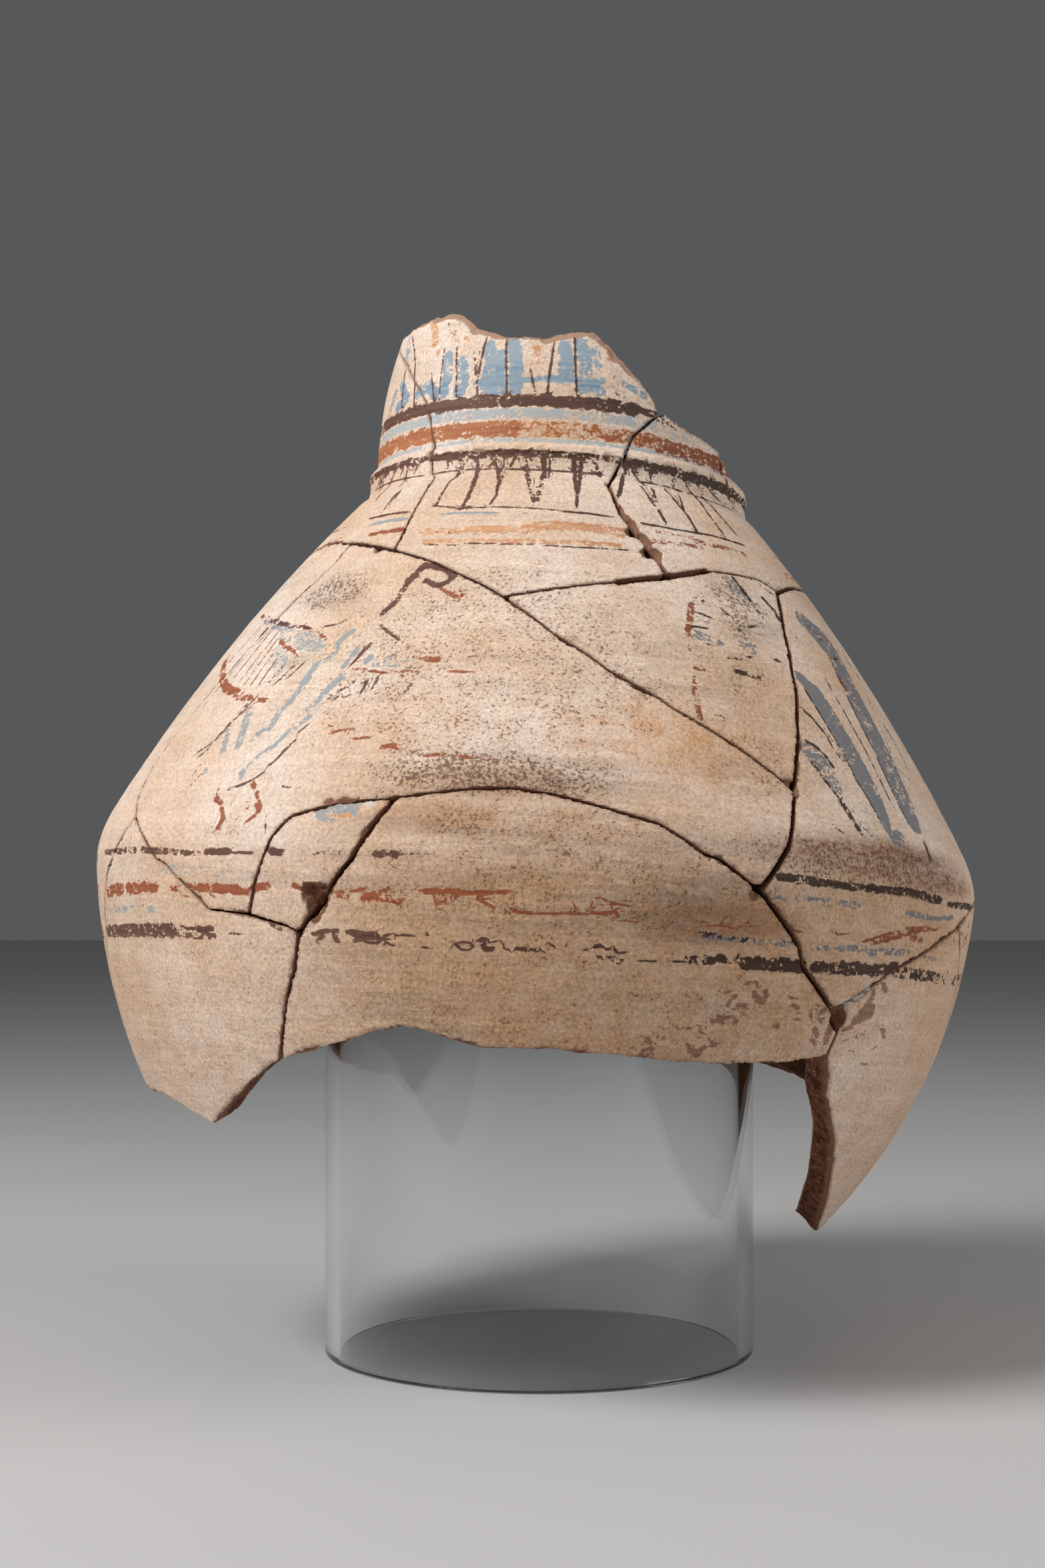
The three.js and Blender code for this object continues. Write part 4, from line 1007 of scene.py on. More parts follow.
def worn_sherd(sherd, neighbours, spalls):
    """Rounds a sherd's faces to the wheel, wears its edges, roughens its breaks and lays out its paint."""
    axes = jar_axes()
    place = (vertices_of(sherd) - JAR_FOOT) @ axes.T
    radius = np.hypot(place[:, 0], place[:, 1])
    angle = np.arctan2(place[:, 0], -place[:, 1])
    nearest, foot, depth, rise = on_profile(radius, place[:, 2])
    wall = wall_at(foot[:, 1])
    by_roll = np.abs(foot[:, 1] - 299) < 10
    face = np.where(by_roll, 2.6, 0.75)
    inside = np.where(by_roll, 99.0, wall - 0.25)
    turned = np.where(depth < face, 0, np.where(depth > inside, wall, (depth - face) * wall / (wall - face - 0.25)))
    normal = np.empty(len(depth) * 3)
    sherd.data.vertices.foreach_get("normal", normal)
    normal = normal.reshape(-1, 3) @ axes.T
    out = PROFILE_OUT[nearest]
    upright = np.abs((normal * out_of(angle, out)).sum(1)) < 0.5
    broken = np.where(by_roll, upright, depth > face + 0.15) & (depth < wall - 0.9)
    turned = np.where(by_roll & broken, np.clip(depth, 0.4, wall), turned)
    torn = np.flatnonzero(broken)
    faces = np.flatnonzero(~broken)
    beside = np.arange(len(depth))
    edge = np.zeros(len(depth))
    which, apart = nearest_of(place[faces], place[torn])
    beside[faces] = torn[which]
    edge[faces] = np.sqrt(np.maximum(apart ** 2 - 0.81, 0))
    gap = np.zeros(len(depth))
    others = (neighbours - JAR_FOOT) @ axes.T
    which, apart = nearest_of(place[torn], others)
    across = np.abs(((others[which] - place[torn]) * normal[torn]).sum(1))
    gap[torn] = np.where(apart < 4, across, apart)
    loose = np.clip((gap[beside] - 3.5) / 2, 0, 1)

    # Broken edges are worn and spalled on the outside, most along the top of the neck
    fine = lumps(place, 2.2, 3)
    wear = 0.04 + 0.6 * lumps(place, 5.5, 5) + 0.42 * fine
    top = np.clip((foot[:, 1] - 318) / 12, 0, 1) * loose
    wear += top * (1.1 + 1.1 * lumps(place, 14, 6)) + loose * (0.15 + 0.3 * lumps(place, 9, 7))
    spalled = dabbed(angle, foot[:, 1], spalls)
    wear = np.clip(wear + spalled * (0.95 + 0.2 * fine), 0, 3)
    outer = depth < wall / 2
    turned = np.where(outer & (spalled > 1), np.minimum(turned, wear + 0.5), turned)
    turned = np.where(outer, np.maximum(turned, wear - (1.1 - 0.45 * top - 0.1 * spalled) * edge), turned)
    for turn, up, half_wide, half_tall, deep in PITS:
        across = ((np.degrees(angle) - turn + 180) % 360 - 180) * np.pi / 180 * radius
        hollow = 1 - (across / half_wide) ** 2 - ((foot[:, 1] - up) / half_tall) ** 2 + 0.6 * fine
        turned = np.where(outer, np.maximum(turned, deep * np.sqrt(np.clip(hollow, 0, 1))), turned)

    wheel = np.stack((place[:, 0] * 0.08, place[:, 1] * 0.08, rise), 1)
    swell = 0.22 * lumps(place, 38, 11) + 0.07 * lumps(place, 11, 12) + 0.05 * lumps(wheel, 2.6, 13)
    swell += 0.025 * lumps(place, 2.4, 14)
    swell *= ~broken
    sunk = turned - swell
    radius = foot[:, 0] - out[:, 0] * sunk
    height = foot[:, 1] - out[:, 1] * sunk
    shaped = np.stack((radius * np.sin(angle), -radius * np.cos(angle), height), 1)

    # Joins sit close: their faces meet again but for a hairline, and only the loose breaks are rough
    level_out = normal[beside] - out_of(angle, out) * (normal[beside] * out_of(angle, out)).sum(1)[:, None]
    tight = dabbed(angle, foot[:, 1], TIGHT)
    closed = (np.clip((gap[beside] - 0.5) * 0.12, 0, 0.3) + 0.2 * (edge > 0) + tight) * (1 - loose) + 0.5 * top
    shaped += level_out * (closed * np.clip((2.3 - edge) / 1.5, 0, 1))[:, None]
    rough = 0.45 * lumps(place, 3.4, 21) + 0.3 * lumps(place, 1.7, 22) + 0.5 * lumps(place, 8, 23)
    shaped += normal * (rough * broken * (0.12 + 0.75 * loose))[:, None]

    sherd.data.vertices.foreach_set("co", ((shaped @ axes + JAR_FOOT) * MM).ravel())
    sherd.data.update()
    store(sherd, "jar_place", shaped)
    store(sherd, "jar_skin", np.stack((turned, edge, wall - turned), 1))
    store(sherd, "jar_wear", np.stack([dabbed(angle, foot[:, 1], d) for d in (SPECKS, FLAKES, STAIN)], 1))
    tones = (WORN_TAN, GREY_GRIME, ORANGE_WARMTH)
    store(sherd, "jar_tone", np.stack([dabbed(angle, foot[:, 1], d) for d in tones], 1))
    for paint, strokes in PAINTS.items():
        store(sherd, "paint_" + paint, brushed(angle, foot[:, 0], rise, strokes))
    select_only(sherd)
    bpy.ops.object.shade_smooth_by_angle(angle=math.radians(38))


def polished_tube():
    """A straight tube with a true wall and its sawn ends polished round."""
    low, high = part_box("clear_tube")
    bpy.ops.object.select_all(action="DESELECT")
    bpy.ops.mesh.primitive_cylinder_add(vertices=160, radius=0.075, depth=high.z - low.z, end_fill_type="NOTHING",
        location=(0, 0, (low.z + high.z) / 2))
    tube = bpy.context.active_object
    tube.name = "clear_display_tube"
    tube.data.name = tube.name
    bpy.ops.object.transform_apply(location=True, rotation=True, scale=True)
    apply_modifier(tube, "SOLIDIFY", thickness=0.005, offset=-1, use_rim=True)
    apply_modifier(tube, "BEVEL", width=0.0006, segments=3, limit_method="ANGLE", angle_limit=math.radians(50))
    bpy.ops.object.shade_smooth_by_angle(angle=math.radians(10))
    return tube


def linear(hex_colour):
    """An sRGB hex colour as linear red, green, blue and alpha."""
    parts = [int(hex_colour[i:i + 2], 16) / 255 for i in (1, 3, 5)]
    return [c / 12.92 if c <= 0.04045 else ((c + 0.055) / 1.055) ** 2.4 for c in parts] + [1.0]


def add(tree, kind, inputs=(), **settings):
    """Adds a node with these settings; each input is a value or another node's output."""
    made = tree.nodes.new(kind)
    for name, value in settings.items():
        setattr(made, name, value)
    for socket, value in dict(inputs).items():
        if isinstance(value, bpy.types.NodeSocket):
            tree.links.new(value, made.inputs[socket])
        else:
            made.inputs[socket].default_value = value
    return made


def new_material(name):
    """An empty node material, its tree and its output node."""
    material = bpy.data.materials.new(name)
    material.use_nodes = True
    material.node_tree.nodes.clear()
    return material, material.node_tree, material.node_tree.nodes.new("ShaderNodeOutputMaterial")


def slip_painted_pottery():
    """Fired clay thrown on a wheel and dipped in a thin cream slip: matt, streaked level by the wheel, pitted with
    dark specks. Mineral paints brushed on the slip have flaked with age, and the breaks show coarse brown clay."""
    material, tree, output = new_material("slip_painted_pottery")
    place = add(tree, "ShaderNodeAttribute", attribute_name="jar_place").outputs["Vector"]
    skin = add(tree, "ShaderNodeSeparateXYZ", {0: add(tree, "ShaderNodeAttribute", attribute_name="jar_skin").outputs["Vector"]})
    wear = add(tree, "ShaderNodeSeparateXYZ", {0: add(tree, "ShaderNodeAttribute", attribute_name="jar_wear").outputs["Vector"]})
    height = add(tree, "ShaderNodeSeparateXYZ", {0: place}).outputs[2]

    # Sizes in millimetres: slip clouds 60, mottling 8, grain 1, wheel lines 1.3 tall and about 30 long, wheel bands 4.5
    # tall and 55 long
    cloud = add(tree, "ShaderNodeTexNoise", {"Vector": place, "Scale": 1 / 60, "Detail": 3, "Roughness": 0.55})
    mottle = add(tree, "ShaderNodeTexNoise", {"Vector": place, "Scale": 1 / 8, "Detail": 5, "Roughness": 0.62})
    grain = add(tree, "ShaderNodeTexNoise", {"Vector": place, "Scale": 1 / 1.0, "Detail": 3, "Roughness": 0.6})
    level = add(tree, "ShaderNodeVectorMath", {0: place, 1: (1 / 30, 1 / 30, 1 / 1.3)}, operation="MULTIPLY")
    streak = add(tree, "ShaderNodeTexNoise", {"Vector": level.outputs[0], "Scale": 1, "Detail": 4, "Roughness": 0.6})
    banding = add(tree, "ShaderNodeVectorMath", {0: place, 1: (1 / 55, 1 / 55, 1 / 4.5)}, operation="MULTIPLY")
    drift = add(tree, "ShaderNodeTexNoise", {"Vector": banding.outputs[0], "Scale": 1, "Detail": 5, "Roughness": 0.62})
    # Paint comes off in flakes about 3.2 mm long and 1.7 mm tall
    brushway = add(tree, "ShaderNodeVectorMath", {0: place, 1: (1 / 3.2, 1 / 3.2, 1 / 1.7)}, operation="MULTIPLY")
    flake = add(tree, "ShaderNodeTexNoise", {"Vector": brushway.outputs[0], "Scale": 1, "Detail": 4, "Roughness": 0.65})

    # Broad tones: cream slip, worn to tan on the front of the belly, with grey grime and orange warmth in clouds
    tone = add(tree, "ShaderNodeSeparateXYZ", {0: add(tree, "ShaderNodeAttribute", attribute_name="jar_tone").outputs["Vector"]})
    pale = add(tree, "ShaderNodeMapRange", {0: cloud.outputs[0], 1: 0.36, 2: 0.62, 3: 0, 4: 1})
    slip = add(tree, "ShaderNodeMix", {0: pale.outputs[0], 6: linear("#E3C5AB"), 7: linear("#EEDBCB")}, data_type="RGBA")
    patchy = add(tree, "ShaderNodeMapRange", {0: mottle.outputs[0], 1: 0.3, 2: 0.62, 3: 0.68, 4: 1})
    tan = add(tree, "ShaderNodeMath", {0: tone.outputs[0], 1: patchy.outputs[0]}, operation="MULTIPLY")
    slip = add(tree, "ShaderNodeMix", {0: tan.outputs[0], 6: slip.outputs[2], 7: linear("#CBA078")}, data_type="RGBA")
    warm_cloud = add(tree, "ShaderNodeMapRange", {0: mottle.outputs[0], 1: 0.4, 2: 0.66, 3: 0.15, 4: 0.6})
    warm = add(tree, "ShaderNodeMath", {0: tone.outputs[2], 1: 0.35}, operation="ADD", use_clamp=True)
    warm = add(tree, "ShaderNodeMath", {0: warm.outputs[0], 1: warm_cloud.outputs[0]}, operation="MULTIPLY")
    slip = add(tree, "ShaderNodeMix", {0: warm.outputs[0], 6: slip.outputs[2], 7: linear("#D2945C")}, data_type="RGBA")
    grime_cloud = add(tree, "ShaderNodeMapRange", {0: drift.outputs[0], 1: 0.6, 2: 0.38, 3: 0, 4: 0.8})
    grime = add(tree, "ShaderNodeMath", {0: tone.outputs[1], 1: 0.14}, operation="ADD", use_clamp=True)
    grime = add(tree, "ShaderNodeMath", {0: grime.outputs[0], 1: grime_cloud.outputs[0]}, operation="MULTIPLY")
    slip = add(tree, "ShaderNodeMix", {0: grime.outputs[0], 6: slip.outputs[2], 7: linear("#8C7A66")}, data_type="RGBA")
    deepest = add(tree, "ShaderNodeMapRange", {0: tone.outputs[0], 1: 0, 2: 1, 3: 0.94, 4: 0.84})
    lined = add(tree, "ShaderNodeMapRange", {0: streak.outputs[0], 1: 0.3, 2: 0.68, 3: deepest.outputs[0], 4: 1.04})
    slip = add(tree, "ShaderNodeMix", {0: 1, 6: slip.outputs[2], 7: lined.outputs[0]}, data_type="RGBA", blend_type="MULTIPLY")
    coarser = add(tree, "ShaderNodeMapRange", {0: tone.outputs[0], 1: 0, 2: 0.8, 3: 0.7, 4: 0.6})
    sandy = add(tree, "ShaderNodeMapRange", {0: grain.outputs[0], 1: 0.26, 2: 0.74, 3: coarser.outputs[0], 4: 1.3})
    slip = add(tree, "ShaderNodeMix", {0: 1, 6: slip.outputs[2], 7: sandy.outputs[0]}, data_type="RGBA", blend_type="MULTIPLY")
    soak = add(tree, "ShaderNodeMapRange", {0: drift.outputs[0], 1: 0.34, 2: 0.62, 3: 0.35, 4: 0.95})
    stained = add(tree, "ShaderNodeMath", {0: wear.outputs[2], 1: soak.outputs[0]}, operation="MULTIPLY")
    blotch = add(tree, "ShaderNodeMapRange", {0: flake.outputs[0], 1: 0.35, 2: 0.66, 3: 0.5, 4: 1.2})
    stained = add(tree, "ShaderNodeMath", {0: stained.outputs[0], 1: blotch.outputs[0]}, operation="MULTIPLY")
    slip = add(tree, "ShaderNodeMix", {0: stained.outputs[0], 6: slip.outputs[2], 7: linear("#7C4A2B")}, data_type="RGBA")

    # Specks: pits and dark grains of irregular shape, scattered everywhere and crowded where the face has worn
    pit = add(tree, "ShaderNodeTexNoise", {"Vector": place, "Scale": 1 / 1.05, "Detail": 4, "Roughness": 0.68})
    crowd = add(tree, "ShaderNodeMapRange", {0: mottle.outputs[0], 1: 0.35, 2: 0.7, 3: 0.71, 4: 0.63})
    crowd = add(tree, "ShaderNodeMath", {0: wear.outputs[0], 1: -0.15, 2: crowd.outputs[0]}, operation="MULTIPLY_ADD")
    speck = add(tree, "ShaderNodeMath", {0: pit.outputs[0], 1: crowd.outputs[0]}, operation="SUBTRACT")
    speck = add(tree, "ShaderNodeMapRange", {0: speck.outputs[0], 1: -0.02, 2: 0.05, 3: 0, 4: 0.78})
    coat = add(tree, "ShaderNodeMix", {0: speck.outputs[0], 6: slip.outputs[2], 7: linear("#553A28")}, data_type="RGBA")
    # Dirt lodged along the joins
    lodged = add(tree, "ShaderNodeMapRange", {0: skin.outputs[1], 1: 1.1, 2: 0.1, 3: 0, 4: 0.6})
    lodged = add(tree, "ShaderNodeMath", {0: lodged.outputs[0], 1: flake.outputs[0]}, operation="MULTIPLY")
    coat = add(tree, "ShaderNodeMix", {0: lodged.outputs[0], 6: coat.outputs[2], 7: linear("#7A5640")}, data_type="RGBA")

    # Paints, the darkest last, each with a wavering brush edge and flaked by how much of it is left
    waver = add(tree, "ShaderNodeMapRange", {0: flake.outputs[0], 1: 0.25, 2: 0.75, 3: 0.9, 4: -0.9})
    flaked = add(tree, "ShaderNodeMath", {0: grain.outputs[0], 1: 0.7, 2: -0.85}, operation="MULTIPLY_ADD")
    flaked = add(tree, "ShaderNodeMath", {0: flake.outputs[0], 1: 1.0, 2: flaked.outputs[0]}, operation="MULTIPLY_ADD")
    flaked = add(tree, "ShaderNodeMath", {0: mottle.outputs[0], 1: 1.0, 2: flaked.outputs[0]}, operation="MULTIPLY_ADD")
    thin = add(tree, "ShaderNodeMapRange", {0: streak.outputs[0], 1: 0.35, 2: 0.65, 3: 0, 4: 1})
    # The paint is chalky and faded on the left, fresher and darker round to the right; the neck keeps a brighter blue
    neckward = add(tree, "ShaderNodeMapRange", {0: height, 1: 286, 2: 306, 3: 0, 4: 1})
    fresh = add(tree, "ShaderNodeMapRange", {0: add(tree, "ShaderNodeSeparateXYZ", {0: place}).outputs[0], 1: -30, 2: 45, 3: 0, 4: 1})
    chalky = {}
    for paint, faded, faded_thin, strong, strong_thin in (
        ("dark", "#54322A", "#6E4B40", "#281913", "#432E27"),
        ("red", "#8C3E1D", "#A05632", "#7A3820", "#925035"),
        ("ochre", "#C97B42", "#D99E6C", "#B06E42", "#C28F66"),
    ):
        old = add(tree, "ShaderNodeMix", {0: thin.outputs[0], 6: linear(faded), 7: linear(faded_thin)}, data_type="RGBA")
        new = add(tree, "ShaderNodeMix", {0: thin.outputs[0], 6: linear(strong), 7: linear(strong_thin)}, data_type="RGBA")
        chalky[paint] = add(tree, "ShaderNodeMix", {0: fresh.outputs[0], 6: old.outputs[2], 7: new.outputs[2]}, data_type="RGBA")
    grey_blue = add(tree, "ShaderNodeMix", {0: fresh.outputs[0], 6: linear("#9A9EA1"), 7: linear("#72757B")}, data_type="RGBA")
    upper_petal = add(tree, "ShaderNodeMapRange", {0: height, 1: 325, 2: 336, 3: 0, 4: 1})
    petal_blue = add(tree, "ShaderNodeMix", {0: upper_petal.outputs[0], 6: linear("#5D87A4"), 7: linear("#869FAF")}, data_type="RGBA")
    petal_blue = add(tree, "ShaderNodeMix", {0: thin.outputs[0], 6: petal_blue.outputs[2], 7: linear("#94A7B2")}, data_type="RGBA")
    petalward = add(tree, "ShaderNodeMapRange", {0: height, 1: 316, 2: 320, 3: 0, 4: 1})
    neck_blue = add(tree, "ShaderNodeMix", {0: petalward.outputs[0], 6: linear("#AFB6B8"), 7: petal_blue.outputs[2]}, data_type="RGBA")
    chalky["blue"] = add(tree, "ShaderNodeMix", {0: neckward.outputs[0], 6: grey_blue.outputs[2], 7: neck_blue.outputs[2]}, data_type="RGBA")
    neck_red = add(tree, "ShaderNodeMix", {0: thin.outputs[0], 6: linear("#A65B34"), 7: linear("#BC784A")}, data_type="RGBA")
    neck_faded = add(tree, "ShaderNodeMapRange", {0: fresh.outputs[0], 1: 0.3, 2: 1, 3: neckward.outputs[0], 4: 0})
    chalky["red"] = add(tree, "ShaderNodeMix", {0: neck_faded.outputs[0], 6: chalky["red"].outputs[2], 7: neck_red.outputs[2]}, data_type="RGBA")
    chalky["bared"] = add(tree, "ShaderNodeMix", {0: thin.outputs[0], 6: linear("#6E4735"), 7: linear("#8A6450")}, data_type="RGBA")
    # The dark strokes also carry the painted shade under the neck roll
    for paint, body, wash in (("bared", 0.78, 0.04), ("ochre", 0.8, 0.12), ("blue", 0.9, 0.09), ("red", 0.92, 0.05),
        ("dark", 0.95, 0.04)):
        stroke = add(tree, "ShaderNodeSeparateXYZ", {0: add(tree, "ShaderNodeAttribute", attribute_name="paint_" + paint).outputs["Vector"]})
        across = add(tree, "ShaderNodeMath", {0: stroke.outputs[0]}, operation="ABSOLUTE")
        within = add(tree, "ShaderNodeMath", {0: stroke.outputs[1], 1: across.outputs[0]}, operation="SUBTRACT")
        sway = add(tree, "ShaderNodeMath", {0: stroke.outputs[1], 1: 0.55, 2: 0.1}, operation="MULTIPLY_ADD")
        steady = add(tree, "ShaderNodeMapRange", {0: stroke.outputs[1], 1: 2.7, 2: 4, 3: 1.6, 4: 0.45})
        sway = add(tree, "ShaderNodeMath", {0: sway.outputs[0], 1: steady.outputs[0]}, operation="MINIMUM")
        within = add(tree, "ShaderNodeMath", {0: sway.outputs[0], 1: waver.outputs[0], 2: within.outputs[0]}, operation="MULTIPLY_ADD")
        within = add(tree, "ShaderNodeMapRange", {0: within.outputs[0], 1: -0.12, 2: 0.2, 3: 0, 4: 1})
        left = add(tree, "ShaderNodeMapRange", {0: stroke.outputs[2], 1: 0, 2: 1, 3: 0.15, 4: 0.76})
        left = add(tree, "ShaderNodeMath", {0: left.outputs[0], 1: flaked.outputs[0]}, operation="SUBTRACT")
        left = add(tree, "ShaderNodeMapRange", {0: left.outputs[0], 1: -wash, 2: wash, 3: 0, 4: body})
        laid = add(tree, "ShaderNodeMath", {0: within.outputs[0], 1: left.outputs[0]}, operation="MULTIPLY")
        coat = add(tree, "ShaderNodeMix", {0: laid.outputs[0], 6: coat.outputs[2], 7: chalky[paint].outputs[2]}, data_type="RGBA")

    # Brown clay where the slip has flaked off in spots a few millimetres across
    spots = add(tree, "ShaderNodeTexNoise", {"Vector": place, "Scale": 1 / 2.6, "Detail": 2, "Roughness": 0.5})
    spot_left = add(tree, "ShaderNodeMapRange", {0: wear.outputs[1], 1: 0, 2: 1, 3: 0.9, 4: 0.53})
    spot = add(tree, "ShaderNodeMath", {0: spots.outputs[0], 1: spot_left.outputs[0]}, operation="SUBTRACT")
    spot = add(tree, "ShaderNodeMapRange", {0: spot.outputs[0], 1: 0, 2: 0.03, 3: 0, 4: 0.8})
    coat = add(tree, "ShaderNodeMix", {0: spot.outputs[0], 6: coat.outputs[2], 7: linear("#7C543D")}, data_type="RGBA")

    # Broken clay: brown, paler where only the face has spalled, with pale grits about 1.6 mm apart
    grit = add(tree, "ShaderNodeTexVoronoi", {"Vector": place, "Scale": 1 / 1.6, "Randomness": 1})
    coarse = add(tree, "ShaderNodeTexNoise", {"Vector": place, "Scale": 1 / 2.4, "Detail": 5, "Roughness": 0.72})
    shade = add(tree, "ShaderNodeMapRange", {0: coarse.outputs[0], 1: 0.38, 2: 0.64, 3: 0, 4: 1})
    clay = add(tree, "ShaderNodeMix", {0: shade.outputs[0], 6: linear("#4C2A1C"), 7: linear("#93614A")}, data_type="RGBA")
    shallow = add(tree, "ShaderNodeMapRange", {0: skin.outputs[0], 1: 3.4, 2: 1.6, 3: 0, 4: 0.75})
    clay = add(tree, "ShaderNodeMix", {0: shallow.outputs[0], 6: clay.outputs[2], 7: linear("#98705B")}, data_type="RGBA")
    clay = add(tree, "ShaderNodeMix", {0: neckward.outputs[0], 6: clay.outputs[2], 7: linear("#B5917A")}, data_type="RGBA")
    grit_pick = add(tree, "ShaderNodeMath", {0: add(tree, "ShaderNodeSeparateColor", {0: grit.outputs["Color"]}).outputs[1], 1: 0.78}, operation="GREATER_THAN")
    grit_dot = add(tree, "ShaderNodeMapRange", {0: grit.outputs["Distance"], 1: 0.36, 2: 0.12, 3: 0, 4: 0.5})
    grit_seen = add(tree, "ShaderNodeMath", {0: grit_pick.outputs[0], 1: grit_dot.outputs[0]}, operation="MULTIPLY")
    clay = add(tree, "ShaderNodeMix", {0: grit_seen.outputs[0], 6: clay.outputs[2], 7: linear("#C9B7A4")}, data_type="RGBA")
    ragged = add(tree, "ShaderNodeMapRange", {0: grain.outputs[0], 1: 0.2, 2: 0.8, 3: -0.25, 4: 0.25})
    deep = add(tree, "ShaderNodeMath", {0: skin.outputs[0], 1: ragged.outputs[0]}, operation="ADD")
    bare = add(tree, "ShaderNodeMapRange", {0: deep.outputs[0], 1: 0.3, 2: 0.55, 3: 0, 4: 1})
    coat = add(tree, "ShaderNodeMix", {0: bare.outputs[0], 6: coat.outputs[2], 7: clay.outputs[2]}, data_type="RGBA")

    # The inner face is bare buff clay with throwing lines
    buff = add(tree, "ShaderNodeMix", {0: thin.outputs[0], 6: linear("#8C6547"), 7: linear("#A57D5B")}, data_type="RGBA")
    inner = add(tree, "ShaderNodeMapRange", {0: skin.outputs[2], 1: 0.9, 2: 0.5, 3: 0, 4: 1})
    coat = add(tree, "ShaderNodeMix", {0: inner.outputs[0], 6: coat.outputs[2], 7: buff.outputs[2]}, data_type="RGBA")

    # White filler from old mending, left beside two of the joins
    dab = add(tree, "ShaderNodeSeparateXYZ", {0: add(tree, "ShaderNodeAttribute", attribute_name="paint_filler").outputs["Vector"]})
    dab_left = add(tree, "ShaderNodeMath", {0: dab.outputs[2], 1: flake.outputs[0]}, operation="SUBTRACT")
    dab_left = add(tree, "ShaderNodeMapRange", {0: dab_left.outputs[0], 1: 0.05, 2: 0.15, 3: 0, 4: 0.9})
    coat = add(tree, "ShaderNodeMix", {0: dab_left.outputs[0], 6: coat.outputs[2], 7: linear("#D3CDC4")}, data_type="RGBA")

    matt = add(tree, "ShaderNodeMapRange", {0: bare.outputs[0], 1: 0, 2: 1, 3: 0.6, 4: 0.92})
    # Relief in millimetres: wheel lines, grain, pits at the specks, low scabs of slip, and a rough break
    relief = add(tree, "ShaderNodeMath", {0: streak.outputs[0], 1: 0.16}, operation="MULTIPLY")
    relief = add(tree, "ShaderNodeMath", {0: grain.outputs[0], 1: 0.17, 2: relief.outputs[0]}, operation="MULTIPLY_ADD")
    relief = add(tree, "ShaderNodeMath", {0: speck.outputs[0], 1: -0.12, 2: relief.outputs[0]}, operation="MULTIPLY_ADD")
    scab = add(tree, "ShaderNodeMapRange", {0: mottle.outputs[0], 1: 0.52, 2: 0.56, 3: 0, 4: 0.12})
    relief = add(tree, "ShaderNodeMath", {0: scab.outputs[0], 1: relief.outputs[0]}, operation="ADD")
    relief = add(tree, "ShaderNodeMath", {0: spot.outputs[0], 1: -0.15, 2: relief.outputs[0]}, operation="MULTIPLY_ADD")
    chip = add(tree, "ShaderNodeMath", {0: bare.outputs[0], 1: coarse.outputs[0]}, operation="MULTIPLY")
    relief = add(tree, "ShaderNodeMath", {0: chip.outputs[0], 1: 1.1, 2: relief.outputs[0]}, operation="MULTIPLY_ADD")
    bump = add(tree, "ShaderNodeBump", {"Height": relief.outputs[0], "Strength": 0.8, "Distance": MM})
    shader = add(tree, "ShaderNodeBsdfPrincipled", {"Base Color": coat.outputs[2], "Roughness": matt.outputs[0],
        "Specular IOR Level": 0.16, "Normal": bump.outputs[0]})
    tree.links.new(shader.outputs[0], output.inputs[0])
    return material


def clear_acrylic():
    """Extruded acrylic tube: colourless, see-through and glossy, with faint handling marks in its gloss."""
    material, tree, output = new_material("clear_acrylic")
    place = add(tree, "ShaderNodeTexCoord").outputs["Object"]
    # Handling marks about 30 mm across dull the gloss a little
    marks = add(tree, "ShaderNodeTexNoise", {"Vector": place, "Scale": 1 / 0.03, "Detail": 3})
    gloss = add(tree, "ShaderNodeMapRange", {0: marks.outputs[0], 1: 0.4, 2: 0.7, 3: 0.0, 4: 0.012})
    shader = add(tree, "ShaderNodeBsdfPrincipled", {"Base Color": linear("#F8FAFA"), "Roughness": gloss.outputs[0],
        "IOR": 1.49, "Transmission Weight": 1})
    tree.links.new(shader.outputs[0], output.inputs[0])
    return material


def pale_board():
    """Matt painted board under the jar: pale grey with a slight unevenness."""
    material, tree, output = new_material("pale_board")
    place = add(tree, "ShaderNodeTexCoord").outputs["Object"]
    cloud = add(tree, "ShaderNodeTexNoise", {"Vector": place, "Scale": 4, "Detail": 3})
    tone = add(tree, "ShaderNodeMix", {0: cloud.outputs[0], 6: linear("#C9C7C6"), 7: linear("#CFCDCC")}, data_type="RGBA")
    shader = add(tree, "ShaderNodeBsdfPrincipled", {"Base Color": tone.outputs[2], "Roughness": 0.7})
    tree.links.new(shader.outputs[0], output.inputs[0])
    return material


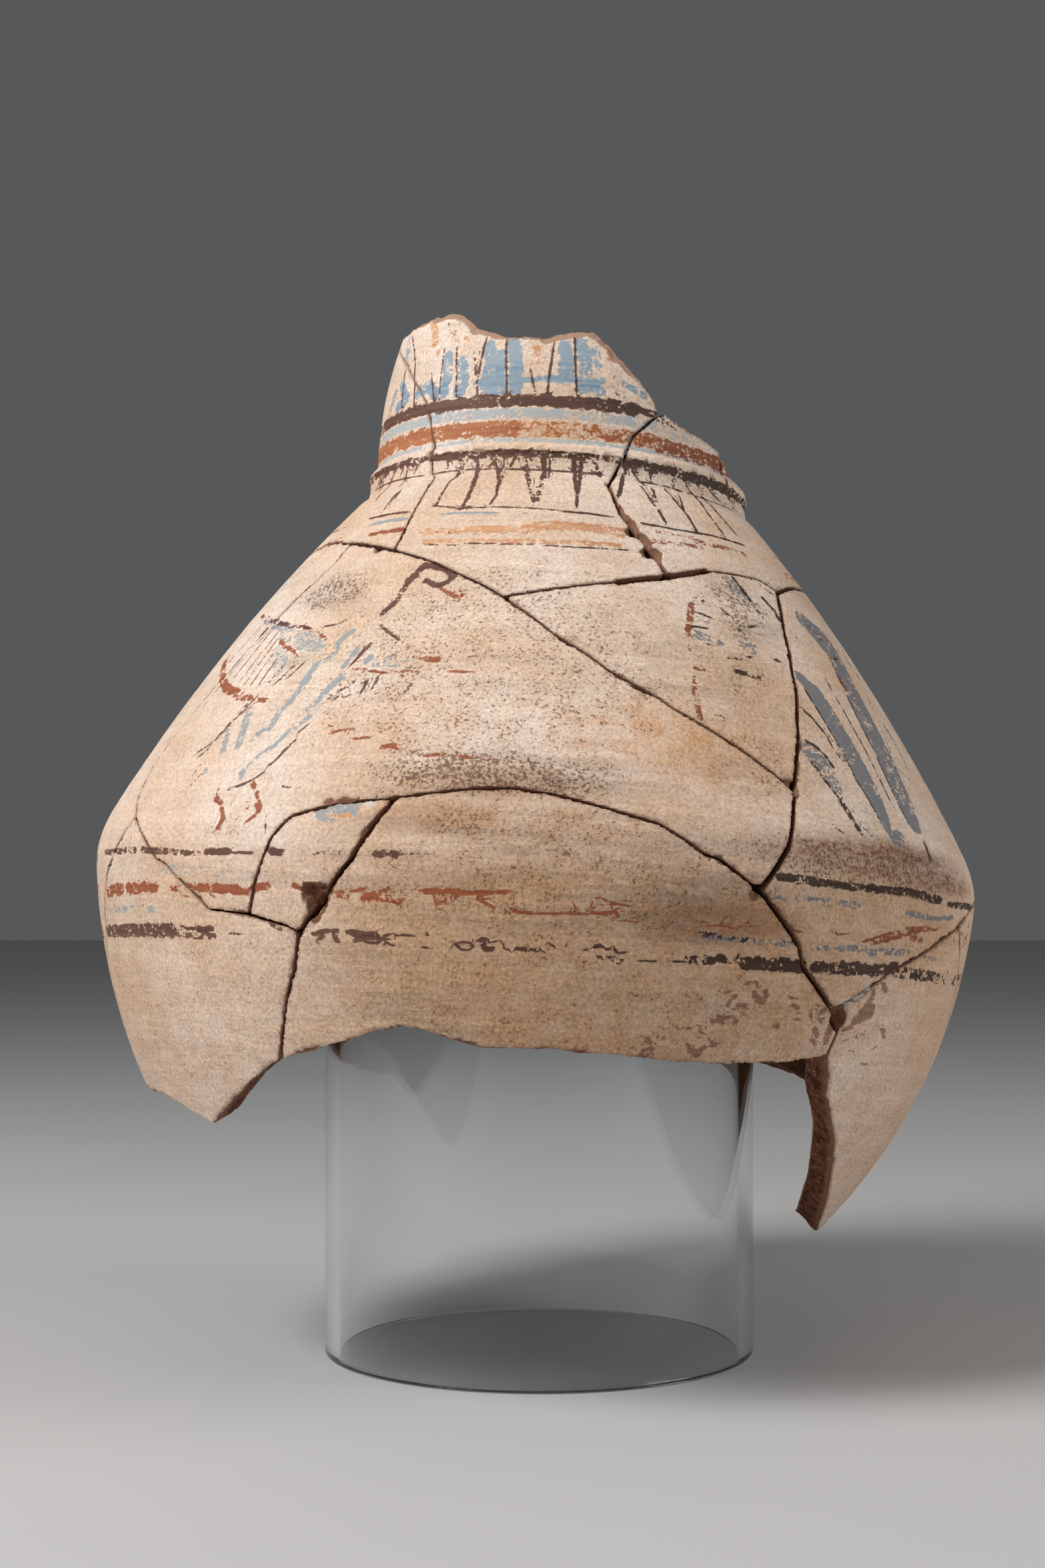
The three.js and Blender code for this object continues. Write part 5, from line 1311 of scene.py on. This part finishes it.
def soft_light(name, place, aim, size, power):
    """A square soft box, aimed at a point of the jar."""
    bpy.ops.object.select_all(action="DESELECT")
    bpy.ops.object.light_add(type="AREA", location=place)
    lamp = bpy.context.active_object
    lamp.name = name
    lamp.data.size = size
    lamp.data.energy = power
    lamp.rotation_euler = (lamp.location - type(lamp.location)(aim)).to_track_quat("Z", "Y").to_euler()


sherds = {name: netted_sherd(name, grain) for name, grain in SHERDS}
outlines = {name: vertices_of(sherd) for name, sherd in sherds.items()}
pottery = slip_painted_pottery()
for name, sherd in sherds.items():
    low, high = outlines[name].min(0) - 8, outlines[name].max(0) + 8
    others = np.concatenate([points for other, points in outlines.items() if other != name])
    others = others[np.all((others > low) & (others < high), axis=1)][::3]
    worn_sherd(sherd, others, SPALLS.get(name, ()))
    sherd.data.materials.append(pottery)
    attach(sherd, "root")
    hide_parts(name)

tube = polished_tube()
tube.data.materials.append(clear_acrylic())
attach(tube, "root")
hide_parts("clear_tube")

bpy.ops.object.select_all(action="DESELECT")
bpy.ops.mesh.primitive_plane_add(size=12, location=(0, 0, -0.0002))
floor = bpy.context.active_object
floor.name = "floor"
bpy.ops.object.transform_apply(location=True, rotation=True, scale=True)
floor.data.materials.append(pale_board())
floor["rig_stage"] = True

soft_light("soft_left", (-0.92, -0.72, 1.25), (0, 0, 0.2), 0.6, 24)
soft_light("soft_right", (1.4, -0.3, 0.85), (0, 0, 0.18), 0.8, 9)
world = bpy.data.worlds.new("soft_room")
bpy.context.scene.world = world
world.use_nodes = True
world.node_tree.nodes["Background"].inputs[0].default_value = linear("#8E9092")
world.node_tree.nodes["Background"].inputs[1].default_value = 0.35

bpy.ops.object.select_all(action="DESELECT")
bpy.ops.object.camera_add(location=(0, -0.8, 0.1619), rotation=(math.pi / 2, 0, 0))
camera = bpy.context.active_object
camera.data.sensor_fit = "VERTICAL"
camera.data.sensor_height = 36
camera.data.sensor_width = 36
camera.data.lens = 52.2
camera.data.shift_x = -0.0106
camera.data.shift_y = 0.0652
camera.data.clip_start = 0.05
camera.data.clip_end = 30
bpy.context.scene.camera = camera
bpy.context.scene.view_settings.view_transform = "Standard"

low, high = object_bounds()
